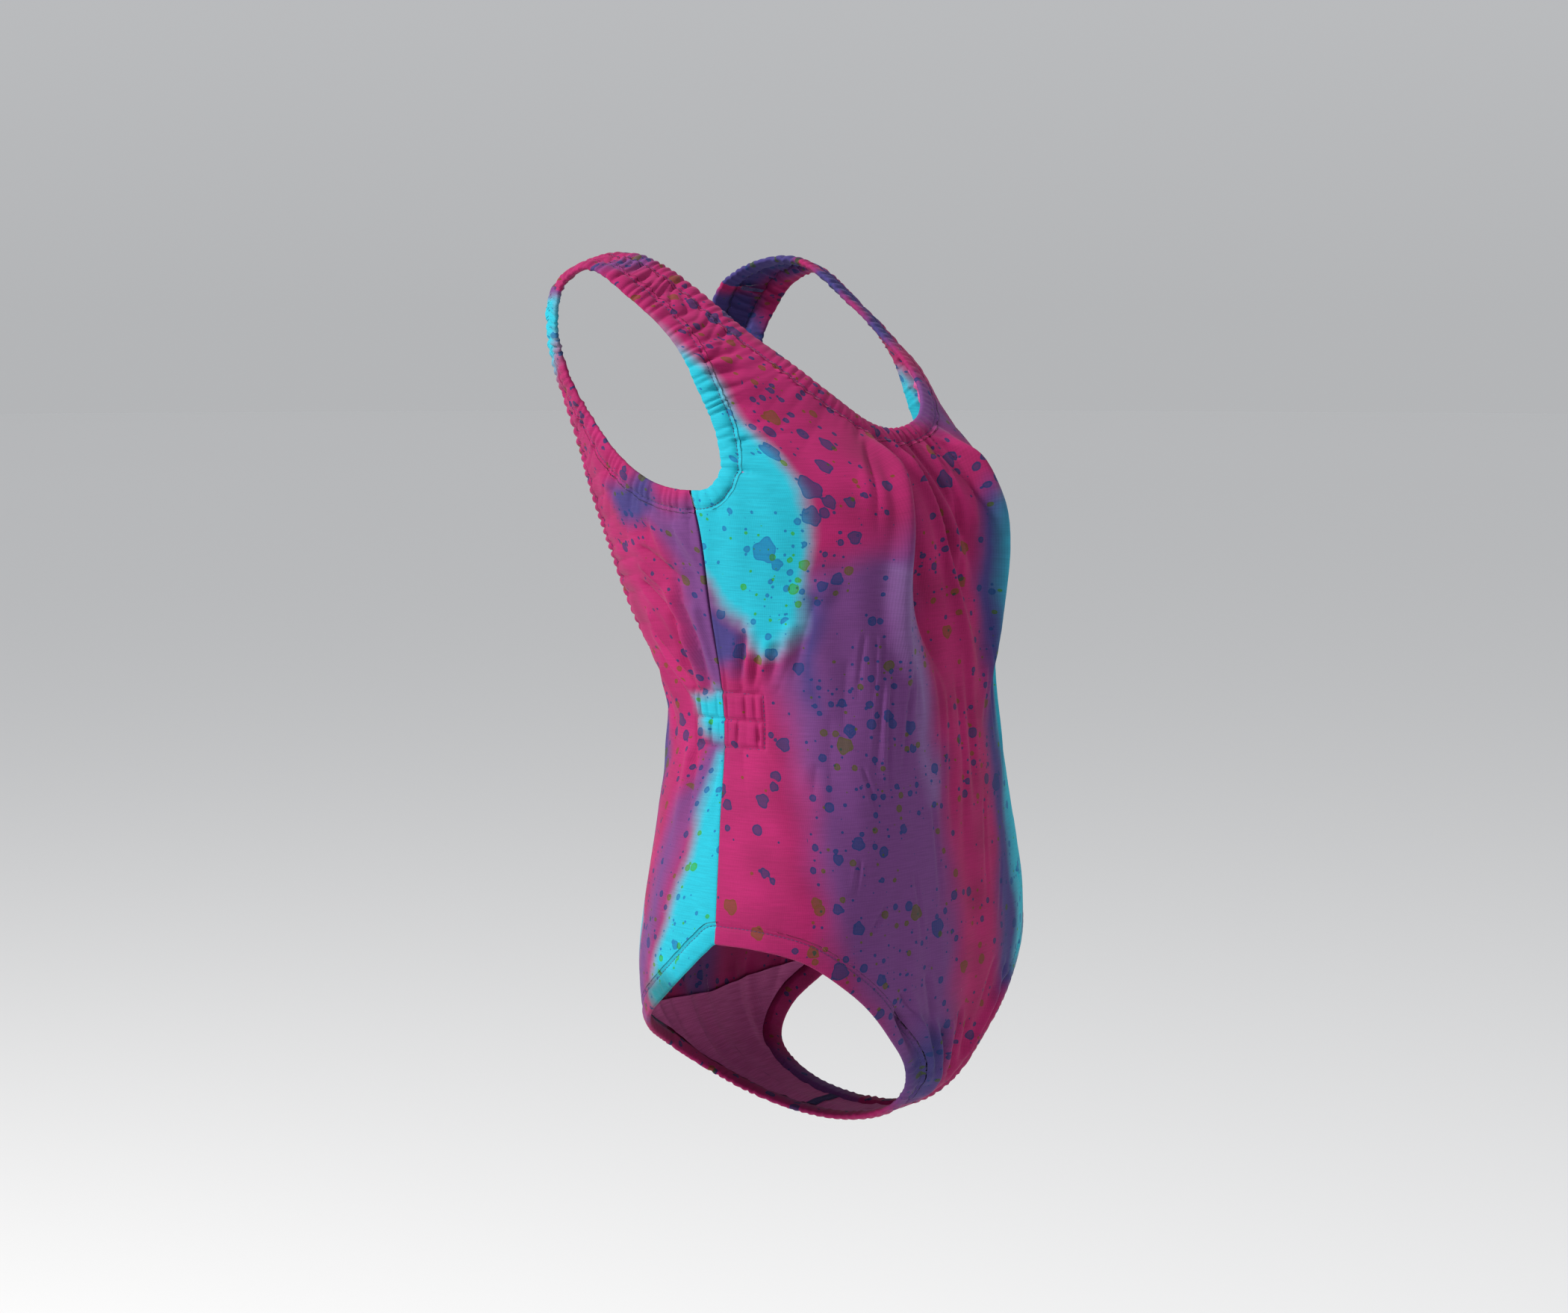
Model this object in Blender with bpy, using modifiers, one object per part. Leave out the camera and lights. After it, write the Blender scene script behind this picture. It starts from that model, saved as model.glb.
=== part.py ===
"""Gymnastics leotard: front and back panels sewn at the sides, shoulders and crotch, elastic in every edge.

+Z is up, the garment's front faces -Y and its right side is -X. The origin is on the middle plane at
the height of the waist elastics. Lengths are in metres.

A place on the cloth is given by two numbers. "turn" is how far round from the middle it lies, from 0 at
the centre line to 1 at the side seam. "run" is how far along the cloth it lies: 0 at the waist, up the
front to the shoulder ridge, then on down the back and under the crotch to the front again.
"""

import math

import bmesh
import bpy
import numpy as np

# ---- cloth, elastic and thread ----
CLOTH = 0.0008
CASING = 0.015
HEM = 0.013
FOLD = 0.0018
ELASTIC_START = 0.0015
ELASTIC_WIDTH = 0.009
ELASTIC = 0.0006
THREAD = 0.0005
THREAD_LIFT = 0.0014
SEAM_GAP = 0.0003
SEAM_TURN = 0.9992

# ---- what lies inside the panels, as depths below the middle of the cloth ----
LINING_DEPTH = 0.0014
LINING = 0.0005
OVERLOCK_DEPTH = 0.0026
OVERLOCK = 0.0006
OVERLOCK_WIDTH = 0.006
OVERLOCK_END = 0.0028
SHOULDER_OVERLOCK_DEPTH = 0.0034
LINING_ELASTIC_DEPTH = 0.0025
WAIST_ELASTIC_DEPTH = 0.0036
WAIST_CASING_DEPTH = 0.0048
WAIST_CASING = 0.0006

# ---- shirred tabs over the side seams at the waist ----
CHANNEL = 0.0195
WAIST_ELASTIC_WIDTH = 0.014
TAB_FRONT = 0.034
TAB_BACK = 0.028
TAB_COLUMNS = 8
TAB_SPEED_TURN = 0.95

# ---- sizes of the garment, level by level: run, height, half width, seam y, front y, back y ----
SIZES = (
    (-0.370, -0.316, 0.080, -0.0200, -0.0200, -0.0200),
    (-0.330, -0.308, 0.095, -0.0180, -0.0680, 0.0380),
    (-0.290, -0.286, 0.122, -0.0150, -0.1000, 0.0850),
    (-0.245, -0.246, 0.152, -0.0130, -0.1180, 0.1100),
    (-0.200, -0.200, 0.164, -0.0160, -0.1260, 0.1130),
    (-0.150, -0.150, 0.165, -0.0190, -0.1270, 0.1080),
    (-0.075, -0.075, 0.147, -0.0100, -0.1230, 0.1000),
    (0.000, 0.000, 0.128, 0.0000, -0.1180, 0.0980),
    (0.080, 0.080, 0.131, 0.0120, -0.1060, 0.1420),
    (0.165, 0.165, 0.141, 0.0220, -0.0880, 0.1780),
    (0.210, 0.210, 0.138, 0.0470, -0.0620, 0.1940),
    (0.250, 0.248, 0.144, 0.0670, -0.0400, 0.2040),
    (0.290, 0.280, 0.150, 0.0850, 0.0000, 0.2060),
    (0.325, 0.305, 0.154, 0.0960, 0.0360, 0.1960),
    (0.360, 0.324, 0.156, 0.1050, 0.0640, 0.1760),
    (0.390, 0.335, 0.157, 0.1100, 0.0880, 0.1440),
    (0.420, 0.339, 0.158, 0.1125, 0.1125, 0.1125),
)
CROTCH = SIZES[0][0]
RIDGE = SIZES[-1][0]
PERIOD = 2 * (RIDGE - CROTCH)
SQUARENESS = 0.3
STRAP_X = 0.10
SHOULDER_SLOPE = 0.2
SHOULDER_START = 0.25
SHOULDER_END = 0.36

# ---- room gathered into the front ----
FULLNESS = 0.025
FULLNESS_X = 0.073
FULLNESS_WIDTH = 0.042
FULLNESS_RUN = 0.165
FULLNESS_ABOVE = 0.055
FULLNESS_BELOW = 0.10

# ---- seams across the cloth, by run ----
SHOULDER_SEAM = 0.490
CROTCH_SEAM = -0.385

# ---- the openings' edges on the right half, as turn and run ----
NECK_EDGE = (
    (0.000, 0.2085), (0.169, 0.2165), (0.290, 0.238), (0.357, 0.265), (0.394, 0.290), (0.407, 0.325),
    (0.427, 0.365), (0.436, 0.420), (0.448, 0.480), (0.459, 0.540), (0.498, 0.620), (0.498, 0.690),
    (0.490, 0.745), (0.413, 0.795), (0.255, 0.830), (0.000, 0.848),
)
ARM_EDGE = (
    (1.000, 0.165), (0.925, 0.168), (0.860, 0.180), (0.815, 0.203), (0.780, 0.250), (0.725, 0.290),
    (0.715, 0.325), (0.738, 0.360), (0.760, 0.420), (0.752, 0.480), (0.727, 0.515), (0.690, 0.550),
    (0.665, 0.590), (0.726, 0.630), (0.812, 0.657), (0.900, 0.671), (1.000, 0.675),
)
LEG_EDGE = (
    (1.000, -0.157), (0.850, -0.158), (0.683, -0.166), (0.495, -0.192), (0.324, -0.230), (0.213, -0.265),
    (0.183, -0.300), (0.208, -0.335), (0.245, -0.370), (0.240, -0.410), (0.278, -0.450), (0.392, -0.477),
    (0.502, -0.493), (0.640, -0.513), (0.800, -0.538), (0.900, -0.560), (0.960, -0.575), (1.000, -0.583),
)

# ---- how finely the pieces are divided ----
STRAP_ROWS = 19
BACK_STRAP_ROWS = 17
RIB_ROWS = 8
HIP_ROWS = 6
LEG_ROWS = 11
ACROSS = 7
TRACE_STEPS = 6000
WELD = 0.00001
MIDDLE_WELD = 0.00005

# ---- extents of the linings, as rows of the panel grids ----
LINING_TOP_ROW = 10
LINING_BOTTOM_ROW = STRAP_ROWS + 3
CROTCH_LINING_ROWS = 7

COLOURS = {
    "dyed_jersey": (0.36, 0.05, 0.22, 1.0),
    "lining": (0.55, 0.10, 0.30, 1.0),
    "elastic": (0.85, 0.85, 0.83, 1.0),
    "thread": (0.04, 0.03, 0.06, 1.0),
}
ROUGHNESS = {"dyed_jersey": 0.75, "lining": 0.8, "elastic": 0.55, "thread": 0.6}


# ---------------------------------------------------------------- the cloth's surface

def smooth(knots, values, at):
    """Read a smooth curve through the values, whose slope at each knot comes from its neighbours."""
    slopes = np.gradient(values, knots)
    left = np.clip(np.searchsorted(knots, at, side="right") - 1, 0, len(knots) - 2)
    width = knots[left + 1] - knots[left]
    s = (at - knots[left]) / width
    start = values[left] * (2 * s**3 - 3 * s**2 + 1) + slopes[left] * width * (s**3 - 2 * s**2 + s)
    end = values[left + 1] * (3 * s**2 - 2 * s**3) + slopes[left + 1] * width * (s**3 - s**2)
    return start + end


def smooth_step(value, start, end):
    """Rise smoothly from 0 at start to 1 at end."""
    s = np.clip((value - start) / (end - start), 0, 1)
    return s * s * (3 - 2 * s)


def size_columns():
    """List the sizes once round the garment: run, height, half width, seam y and centre y."""
    front = [(run, z, half, seam, front_y) for run, z, half, seam, front_y, _ in SIZES]
    back = [(2 * RIDGE - run, z, half, seam, back_y) for run, z, half, seam, _, back_y in SIZES[::-1]]
    once = np.array(front + back[1:-1])
    turn_of = np.array([PERIOD, 0, 0, 0, 0])
    return np.concatenate([once[-3:] - turn_of, once, once[:3] + turn_of]).T


COLUMNS = size_columns()


def measure(run):
    """Give the height, half width, seam y and centre y at a run."""
    run = (np.asarray(run, float) - CROTCH) % PERIOD + CROTCH
    return [smooth(COLUMNS[0], column, run) for column in COLUMNS[1:]]


def fullness(x, run):
    """How far the gathered front stands out."""
    above = np.where(run > FULLNESS_RUN, FULLNESS_ABOVE, FULLNESS_BELOW)
    along = np.exp(-((run - FULLNESS_RUN) / above) ** 2)
    return FULLNESS * along * np.exp(-((np.abs(x) - FULLNESS_X) / FULLNESS_WIDTH) ** 2)


def cloth(turn, run):
    """Place the middle of the cloth, on the right half."""
    height, half, seam_y, centre_y = measure(run)
    angle = np.asarray(turn) * math.pi / 2
    x = -half * np.sin(angle)
    depth = np.cos(angle) * (1 + SQUARENESS * np.sin(angle) ** 2)
    y = seam_y + (centre_y - seam_y) * depth - fullness(x, run)
    from_ridge = RIDGE - np.abs(np.asarray(run) - RIDGE)
    slope = SHOULDER_SLOPE * smooth_step(from_ridge, SHOULDER_START, SHOULDER_END)
    z = height + slope * (x + STRAP_X)
    return np.stack([x, y, z], axis=-1)


def unit(vectors):
    """Scale vectors to length 1."""
    return vectors / np.linalg.norm(vectors, axis=-1, keepdims=True)


def directions(turn, run, step=1e-4):
    """Give the cloth's two slopes, with turn and with run."""
    with_turn = (cloth(turn + step, run) - cloth(turn - step, run)) / (2 * step)
    with_run = (cloth(turn, run + step) - cloth(turn, run - step)) / (2 * step)
    return with_turn, with_run


def outward(turn, run):
    """Give the direction straight out of the cloth."""
    with_turn, with_run = directions(turn, run)
    return unit(np.cross(with_run, with_turn))


# ---------------------------------------------------------------- edges and their casings

def walk(turn, run, direction, distance, steps=6):
    """Move along the cloth from places on it, towards a direction in space."""
    for _ in range(steps):
        normal = outward(turn, run)
        flat = unit(direction - np.sum(direction * normal, axis=-1, keepdims=True) * normal)
        with_turn, with_run = directions(turn, run)
        aa, bb = np.sum(with_turn**2, axis=-1), np.sum(with_run**2, axis=-1)
        ab = np.sum(with_turn * with_run, axis=-1)
        a, b = np.sum(with_turn * flat, axis=-1), np.sum(with_run * flat, axis=-1)
        scale = distance / steps / (aa * bb - ab * ab)
        turn = turn + (a * bb - b * ab) * scale
        run = run + (b * aa - a * ab) * scale
    return turn, run


def trace(edge, cloth_side):
    """Draw an edge as a smooth line, level at both ends, and beside it the line where its casing ends."""
    points = np.array(edge)
    first = (2 * points[0, 0] - points[1, 0], points[1, 1])
    last = (2 * points[-1, 0] - points[-2, 0], points[-2, 1])
    points = np.vstack([first, points, last])
    places = cloth(points[:, 0], points[:, 1])
    knots = np.concatenate([[0], np.cumsum(np.linalg.norm(np.diff(places, axis=0), axis=1))])
    at = np.linspace(knots[1], knots[-2], TRACE_STEPS)
    turn, run = smooth(knots, points[:, 0], at), smooth(knots, points[:, 1], at)
    inward = np.cross(outward(turn, run), np.gradient(cloth(turn, run), axis=0)) * cloth_side
    inner_turn, inner_run = walk(turn, run, unit(inward), CASING)
    inner_turn[[0, -1]] = turn[[0, -1]]
    return np.stack([turn, run, inner_turn, inner_run], axis=1)


def length_at(line, lengths, run):
    """Find how far along a traced edge it reaches a run; its ends are reached only at its ends."""
    if run in (line[0, 1], line[-1, 1]):
        return lengths[0] if run == line[0, 1] else lengths[-1]
    rising = np.sign(line[-1, 1] - line[0, 1])
    return lengths[np.argmax(line[:, 1] * rising > run * rising)]


def even_part(line, start_run, end_run, count):
    """Take evenly spaced places on a traced edge from one run to another."""
    steps = np.linalg.norm(np.diff(cloth(line[:, 0], line[:, 1]), axis=0), axis=1)
    lengths = np.concatenate([[0], np.cumsum(steps)])
    start, end = (length_at(line, lengths, run) for run in (start_run, end_run))
    at = np.linspace(start, end, count + 1)
    return np.stack([np.interp(at, lengths, column) for column in line.T], axis=1)


class Casing:
    """The band of cloth along an edge, from the edge itself to CASING inside it."""

    def __init__(self, places, seam_turn=1.0):
        turn, run, inner_turn, inner_run = places.T
        turn, inner_turn = np.minimum(turn, seam_turn), np.minimum(inner_turn, seam_turn)
        self.inner = np.stack([inner_turn, inner_run], axis=1)
        self.edge = cloth(turn, run)
        self.end = cloth(inner_turn, inner_run)
        self.normal = outward(turn, run)
        self.end_normal = outward(inner_turn, inner_run)

    def layer(self, from_edge, depth):
        """Give a line along the casing, some way in from the edge and below the cloth."""
        share = from_edge / CASING
        place = self.edge + (self.end - self.edge) * share
        normal = unit(self.normal + (self.end_normal - self.normal) * share)
        return place - normal * depth

    def hem_lines(self):
        """List the lines of the cloth from its inner edge, round the fold, to the end of the hem."""
        route = ((CASING, 0), (0, 0), (-FOLD, FOLD), (0, 2 * FOLD), (HEM, 2 * FOLD))
        return np.stack([self.layer(from_edge, depth) for from_edge, depth in route], axis=1)


# ---------------------------------------------------------------- the panels' grids

def line_between(start, end, count):
    """Take evenly spaced places on a straight line between two places."""
    return np.linspace(start, end, count + 1)


def join(*lines):
    """Join lines end to end, without their shared places."""
    return np.vstack([lines[0]] + [line[1:] for line in lines[1:]])


def fill(inner, outer, columns=ACROSS):
    """Fill the cloth between two lines with a grid of places."""
    share = np.linspace(0, 1, columns + 1)[None, :, None]
    return inner[:, None] * (1 - share) + outer[:, None] * share


EDGES = {"neck": trace(NECK_EDGE, 1), "arm": trace(ARM_EDGE, -1), "leg": trace(LEG_EDGE, 1)}


def casing(edge, start, end, count, seam_turn=SEAM_TURN):
    """Make the casing along part of an opening."""
    return Casing(even_part(EDGES[edge], start, end, count), seam_turn)


def front_pattern():
    """Lay out the right half of the front: its grid of places and its three casings."""
    top = SHOULDER_SEAM - SEAM_GAP
    bottom = CROTCH_SEAM + SEAM_GAP
    neck = casing("neck", top, NECK_EDGE[0][1], STRAP_ROWS)
    arm = casing("arm", top, ARM_EDGE[0][1], STRAP_ROWS)
    leg = casing("leg", LEG_EDGE[0][1], bottom, LEG_ROWS)
    side = line_between(arm.inner[-1], leg.inner[0], RIB_ROWS + HIP_ROWS)
    hip_level = (0, leg.inner[0, 1])
    centre = join(line_between(neck.inner[-1], hip_level, RIB_ROWS + HIP_ROWS),
                  line_between(hip_level, (0, bottom), LEG_ROWS))
    grid = fill(join(neck.inner, centre), join(arm.inner, side, leg.inner))
    return grid, [neck, arm, leg]


def back_pattern():
    """Lay out the right half of the back: its grid of places and its three casings."""
    top = SHOULDER_SEAM + SEAM_GAP
    bottom = CROTCH_SEAM - SEAM_GAP
    neck = casing("neck", top, NECK_EDGE[-1][1], BACK_STRAP_ROWS + RIB_ROWS)
    arm = casing("arm", top, ARM_EDGE[-1][1], BACK_STRAP_ROWS)
    leg = casing("leg", LEG_EDGE[-1][1], bottom, LEG_ROWS)
    leg_line = leg.inner + (0, PERIOD)
    waist = (SEAM_TURN, 2 * RIDGE)
    side = join(line_between(arm.inner[-1], waist, RIB_ROWS), line_between(waist, leg_line[0], HIP_ROWS))
    hip_level = (0, leg_line[0, 1])
    centre = join(line_between(neck.inner[-1], hip_level, HIP_ROWS),
                  line_between(hip_level, (0, bottom + PERIOD), LEG_ROWS))
    grid = fill(join(neck.inner, centre), join(arm.inner, side, leg_line))
    return grid, [neck, arm, leg]


# ---------------------------------------------------------------- building objects

def clear_scene():
    """Remove whatever the scene holds."""
    for item in list(bpy.data.objects):
        bpy.data.objects.remove(item, do_unlink=True)


def material(name, kind):
    """Make a plain material of one kind."""
    made = bpy.data.materials.new(name)
    made.use_nodes = True
    shader = made.node_tree.nodes["Principled BSDF"]
    shader.inputs["Base Color"].default_value = COLOURS[kind]
    shader.inputs["Roughness"].default_value = ROUGHNESS[kind]
    shader.inputs["Metallic"].default_value = 0.0
    made.diffuse_color = COLOURS[kind]
    return made


def add_object(name, data, kind):
    """Put a mesh or curve in the garment's collection."""
    data.materials.append(material(name, kind))
    piece = bpy.data.objects.new(name, data)
    bpy.data.collections["gymnastics_leotard"].objects.link(piece)
    return piece


def grid_faces(rows, columns, first=0):
    """List the faces of a grid of points."""
    corners = [(row * columns + column + first) for row in range(rows - 1) for column in range(columns - 1)]
    return [(at, at + 1, at + columns + 1, at + columns) for at in corners]


def finished_mesh(name, points, faces, weld=WELD):
    """Make a mesh whose meeting points are welded and whose faces agree."""
    mesh = bpy.data.meshes.new(name)
    mesh.from_pydata([tuple(point) for point in points], [], faces)
    work = bmesh.new()
    work.from_mesh(mesh)
    bmesh.ops.remove_doubles(work, verts=work.verts, dist=weld)
    bmesh.ops.recalc_face_normals(work, faces=work.faces)
    work.to_mesh(mesh)
    work.free()
    return mesh


def sheet(name, grids, thickness, kind):
    """Make a layer of cloth from grids over the right half: an open surface, mirrored and made solid."""
    points, faces = [], []
    for grid in grids:
        faces += grid_faces(*grid.shape[:2], len(points))
        points += list(grid.reshape(-1, 3))
    piece = add_object(name, finished_mesh(name, points, faces), kind)
    mirror = piece.modifiers.new("mirror", "MIRROR")
    mirror.use_axis = (True, False, False)
    mirror.merge_threshold = MIDDLE_WELD
    solid = piece.modifiers.new("solidify", "SOLIDIFY")
    solid.thickness = thickness
    solid.offset = 0
    return piece


def band(name, sections, kind, closed=False):
    """Make a flat band through sections of equal corners, either a closed loop or with its ends capped."""
    count, corners = sections.shape[:2]
    faces = []
    for at in range(count if closed else count - 1):
        here, there = corners * at, corners * ((at + 1) % count)
        pairs = [(k, (k + 1) % corners) for k in range(corners)]
        faces += [(here + k, here + after, there + after, there + k) for k, after in pairs]
    if not closed:
        faces += [tuple(range(corners)), tuple(range(corners * (count - 1), corners * count))]
    return add_object(name, finished_mesh(name, np.reshape(sections, (-1, 3)), faces, 0), kind)


def thread(name, points, closed):
    """Lay a thread through points."""
    curve = bpy.data.curves.new(name, "CURVE")
    curve.dimensions = "3D"
    curve.bevel_depth = THREAD / 2
    curve.bevel_resolution = 0
    curve.use_fill_caps = True
    spline = curve.splines.new("POLY")
    spline.points.add(len(points) - 1)
    for point, place in zip(spline.points, points):
        point.co = (*place, 1.0)
    spline.use_cyclic_u = closed
    return add_object(name, curve, "thread")


def flipped(points):
    """Mirror points to the left half."""
    return np.asarray(points) * (-1, 1, 1)


# ---------------------------------------------------------------- the pieces

def below(grid, depth):
    """Give the points under a grid of places."""
    return cloth(grid[..., 0], grid[..., 1]) - outward(grid[..., 0], grid[..., 1]) * depth


def make_panels():
    """Make the front and back, each with its turned-in hems, and the two linings that follow them."""
    front, front_casings = front_pattern()
    back, back_casings = back_pattern()
    sheet("front_panel", [below(front, 0)] + [edge.hem_lines() for edge in front_casings],
          CLOTH, "dyed_jersey")
    sheet("back_panel", [below(back, 0)] + [edge.hem_lines() for edge in back_casings],
          CLOTH, "dyed_jersey")
    lined = front[LINING_TOP_ROW:LINING_BOTTOM_ROW + 1]
    sheet("front_lining", [below(lined, LINING_DEPTH)], LINING, "lining")
    under = np.concatenate([front[-CROTCH_LINING_ROWS:], back[-2:-CROTCH_LINING_ROWS:-1]])
    sheet("crotch_lining", [below(under, LINING_DEPTH)], LINING, "lining")
    make_lining_elastic(lined)


def make_lining_elastic(lined):
    """Make the elastic along the front lining's lower edge, from side to side."""
    upper, lower = (below(row[:-1], 0) for row in (lined[-2], lined[-1]))
    normal = outward(lined[-1][:-1, 0], lined[-1][:-1, 1])
    up = unit(upper - lower)
    corners = [lower + up * rise - normal * (LINING_ELASTIC_DEPTH + depth)
               for rise, depth in ((0, 0), (ELASTIC_WIDTH, 0), (ELASTIC_WIDTH, ELASTIC), (0, ELASTIC))]
    half = np.stack(corners, axis=1)
    band("lining_elastic", np.concatenate([half[::-1], flipped(half[1:])]), "elastic")


def whole_casing(edge, front_count, back_count, seam):
    """Make the casing of a whole opening on the right half, through the seam that crosses it."""
    line = EDGES[edge]
    return Casing(join(even_part(line, line[0, 1], seam, front_count),
                       even_part(line, seam, line[-1, 1], back_count)))


def elastic_sections(edge):
    """Give the elastic's sections inside a casing."""
    near, far = ELASTIC_START, ELASTIC_START + ELASTIC_WIDTH
    top, bottom = FOLD - ELASTIC / 2, FOLD + ELASTIC / 2
    corners = ((near, top), (far, top), (far, bottom), (near, bottom))
    return np.stack([edge.layer(from_edge, depth) for from_edge, depth in corners], axis=1)


def make_edge_trims():
    """Make the elastic and the topstitching of each opening."""
    stitch_line = HEM - 2 * THREAD
    neck = whole_casing("neck", STRAP_ROWS, BACK_STRAP_ROWS + RIB_ROWS, SHOULDER_SEAM)
    half = elastic_sections(neck)
    band("neckline_elastic", np.concatenate([half, flipped(half)[-2:0:-1]]), "elastic", True)
    line = neck.layer(stitch_line, -THREAD_LIFT)
    thread("neckline_topstitch", np.concatenate([line, flipped(line)[-2:0:-1]]), True)
    openings = {"armhole": whole_casing("arm", STRAP_ROWS, BACK_STRAP_ROWS, SHOULDER_SEAM),
                "leg": whole_casing("leg", LEG_ROWS, LEG_ROWS, CROTCH_SEAM)}
    for opening, edge in openings.items():
        sections = elastic_sections(edge)[:-1]
        line = edge.layer(stitch_line, -THREAD_LIFT)[:-1]
        for side, place in (("right", np.asarray), ("left", flipped)):
            band(f"{opening}_elastic_{side}", place(sections), "elastic", True)
            thread(f"{opening}_topstitch_{side}", place(line), True)


def overlock_sections(turn, run, along_turn):
    """Give the sections of an overlocked seam, which lies flat along the cloth's turn or its run."""
    centre, normal = cloth(turn, run), outward(turn, run)
    across = unit(directions(turn, run)[0 if along_turn else 1])
    half_width, half_depth = OVERLOCK_WIDTH / 2, OVERLOCK / 2
    corners = [centre + across * wide * half_width - normal * (OVERLOCK_DEPTH + deep * half_depth)
               for wide, deep in ((-1, -1), (1, -1), (1, 1), (-1, 1))]
    return np.stack(corners, axis=1)


def make_seams():
    """Make the overlocked seams at the sides, the shoulders and the crotch."""
    front, _ = front_pattern()
    side_run = front[STRAP_ROWS:STRAP_ROWS + RIB_ROWS + HIP_ROWS + 1, -1, 1]
    side_run = side_run + np.array([-OVERLOCK_END] + [0] * (len(side_run) - 2) + [OVERLOCK_END])
    side_turn = np.ones(len(side_run))
    side = overlock_sections(side_turn, side_run, True)
    shoulder_turn = front[0, [0, -1], 0]
    ends = cloth(shoulder_turn, np.full(2, SHOULDER_SEAM))
    middle = np.array([shoulder_turn.mean()])
    normal = outward(middle, np.array([SHOULDER_SEAM]))[0]
    along = unit(np.diff(ends, axis=0)[0])
    across = unit(np.cross(normal, along))
    centre = ends.mean(axis=0) - normal * SHOULDER_OVERLOCK_DEPTH
    reach = np.linalg.norm(np.diff(ends, axis=0)) / 2 - OVERLOCK_END
    corners = [across * wide * OVERLOCK_WIDTH / 2 - normal * deep * OVERLOCK / 2
               for wide, deep in ((-1, -1), (1, -1), (1, 1), (-1, 1))]
    shoulder = np.array([[centre + along * end + corner for corner in corners] for end in (-reach, reach)])
    for name, place in (("right", np.asarray), ("left", flipped)):
        band(f"side_seam_overlock_{name}", place(side), "thread")
        band(f"shoulder_seam_overlock_{name}", place(shoulder), "thread")
    turns = front[-1, :-1, 0]
    half = overlock_sections(turns, np.full(len(turns), CROTCH_SEAM), False)
    band("crotch_seam_overlock", np.concatenate([half[::-1], flipped(half[1:])]), "thread")


def tab_places(from_seam, height):
    """Give places round the side seam: in front of it where from_seam is negative, behind it otherwise."""
    from_seam = np.asarray(from_seam, float)
    speed = [np.linalg.norm(directions(TAB_SPEED_TURN, run)[0]) for run in (0.0, 2 * RIDGE)]
    in_front = from_seam < 0
    turn = 1 - np.abs(from_seam) / np.where(in_front, *speed)
    run = np.where(in_front, height, 2 * RIDGE - height)
    return turn, run


def tab_band(heights, depth, thickness):
    """Give the sections of a band round the side seam, through some heights."""
    from_seam = np.linspace(-TAB_FRONT, TAB_BACK, TAB_COLUMNS + 1)
    outer = [(height, depth) for height in heights]
    inner = [(height, depth + thickness) for height in heights[::-1]]
    corners = []
    for height, deep in outer + inner:
        turn, run = tab_places(from_seam, height)
        corners.append(cloth(turn, run) - outward(turn, run) * deep)
    return np.stack(corners, axis=1)


def tab_stitching():
    """Route the tab's stitching: its three rows, joined at their ends."""
    from_seam = np.linspace(-TAB_FRONT, TAB_BACK, TAB_COLUMNS + 1)
    route = []
    for row, height in enumerate((CHANNEL, 0.0, -CHANNEL)):
        turn, run = tab_places(from_seam, height)
        line = cloth(turn, run) + outward(turn, run) * THREAD_LIFT
        route.append(line if row % 2 == 0 else line[::-1])
    return np.concatenate(route)


def make_waist_tabs():
    """Make each side's two waist elastics, the strip that covers them inside, and their stitching."""
    margin = (CHANNEL - WAIST_ELASTIC_WIDTH) / 2
    upper = tab_band((margin, CHANNEL - margin), WAIST_ELASTIC_DEPTH, ELASTIC)
    lower = tab_band((margin - CHANNEL, -margin), WAIST_ELASTIC_DEPTH, ELASTIC)
    strip = tab_band((-CHANNEL, 0.0, CHANNEL), WAIST_CASING_DEPTH, WAIST_CASING)
    stitching = tab_stitching()
    for name, place in (("right", np.asarray), ("left", flipped)):
        band(f"waist_elastic_upper_{name}", place(upper), "elastic")
        band(f"waist_elastic_lower_{name}", place(lower), "elastic")
        band(f"waist_casing_{name}", place(strip), "lining")
        thread(f"waist_stitching_{name}", place(stitching), False)


def main():
    """Build the leotard."""
    clear_scene()
    garment = bpy.data.collections.new("gymnastics_leotard")
    bpy.context.scene.collection.children.link(garment)
    make_panels()
    make_edge_trims()
    make_seams()
    make_waist_tabs()


main()
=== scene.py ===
"""The look of a gathered, dyed gymnastics leotard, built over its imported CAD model.

A place on the cloth is given by its turn (0 at the centre line, 1 at the side seam), its run (0 at the
waist, up the front to the shoulder ridge, on down the back and under the crotch) and its side (1 for the
wearer's right half, -1 for the left). "Across" is the distance round from the centre line, counted positive
on the wearer's right. Lengths are in metres, except in the tables that say they are in millimetres.
"""

import math

import bpy
import numpy as np
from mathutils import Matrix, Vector
from mathutils.kdtree import KDTree


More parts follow.
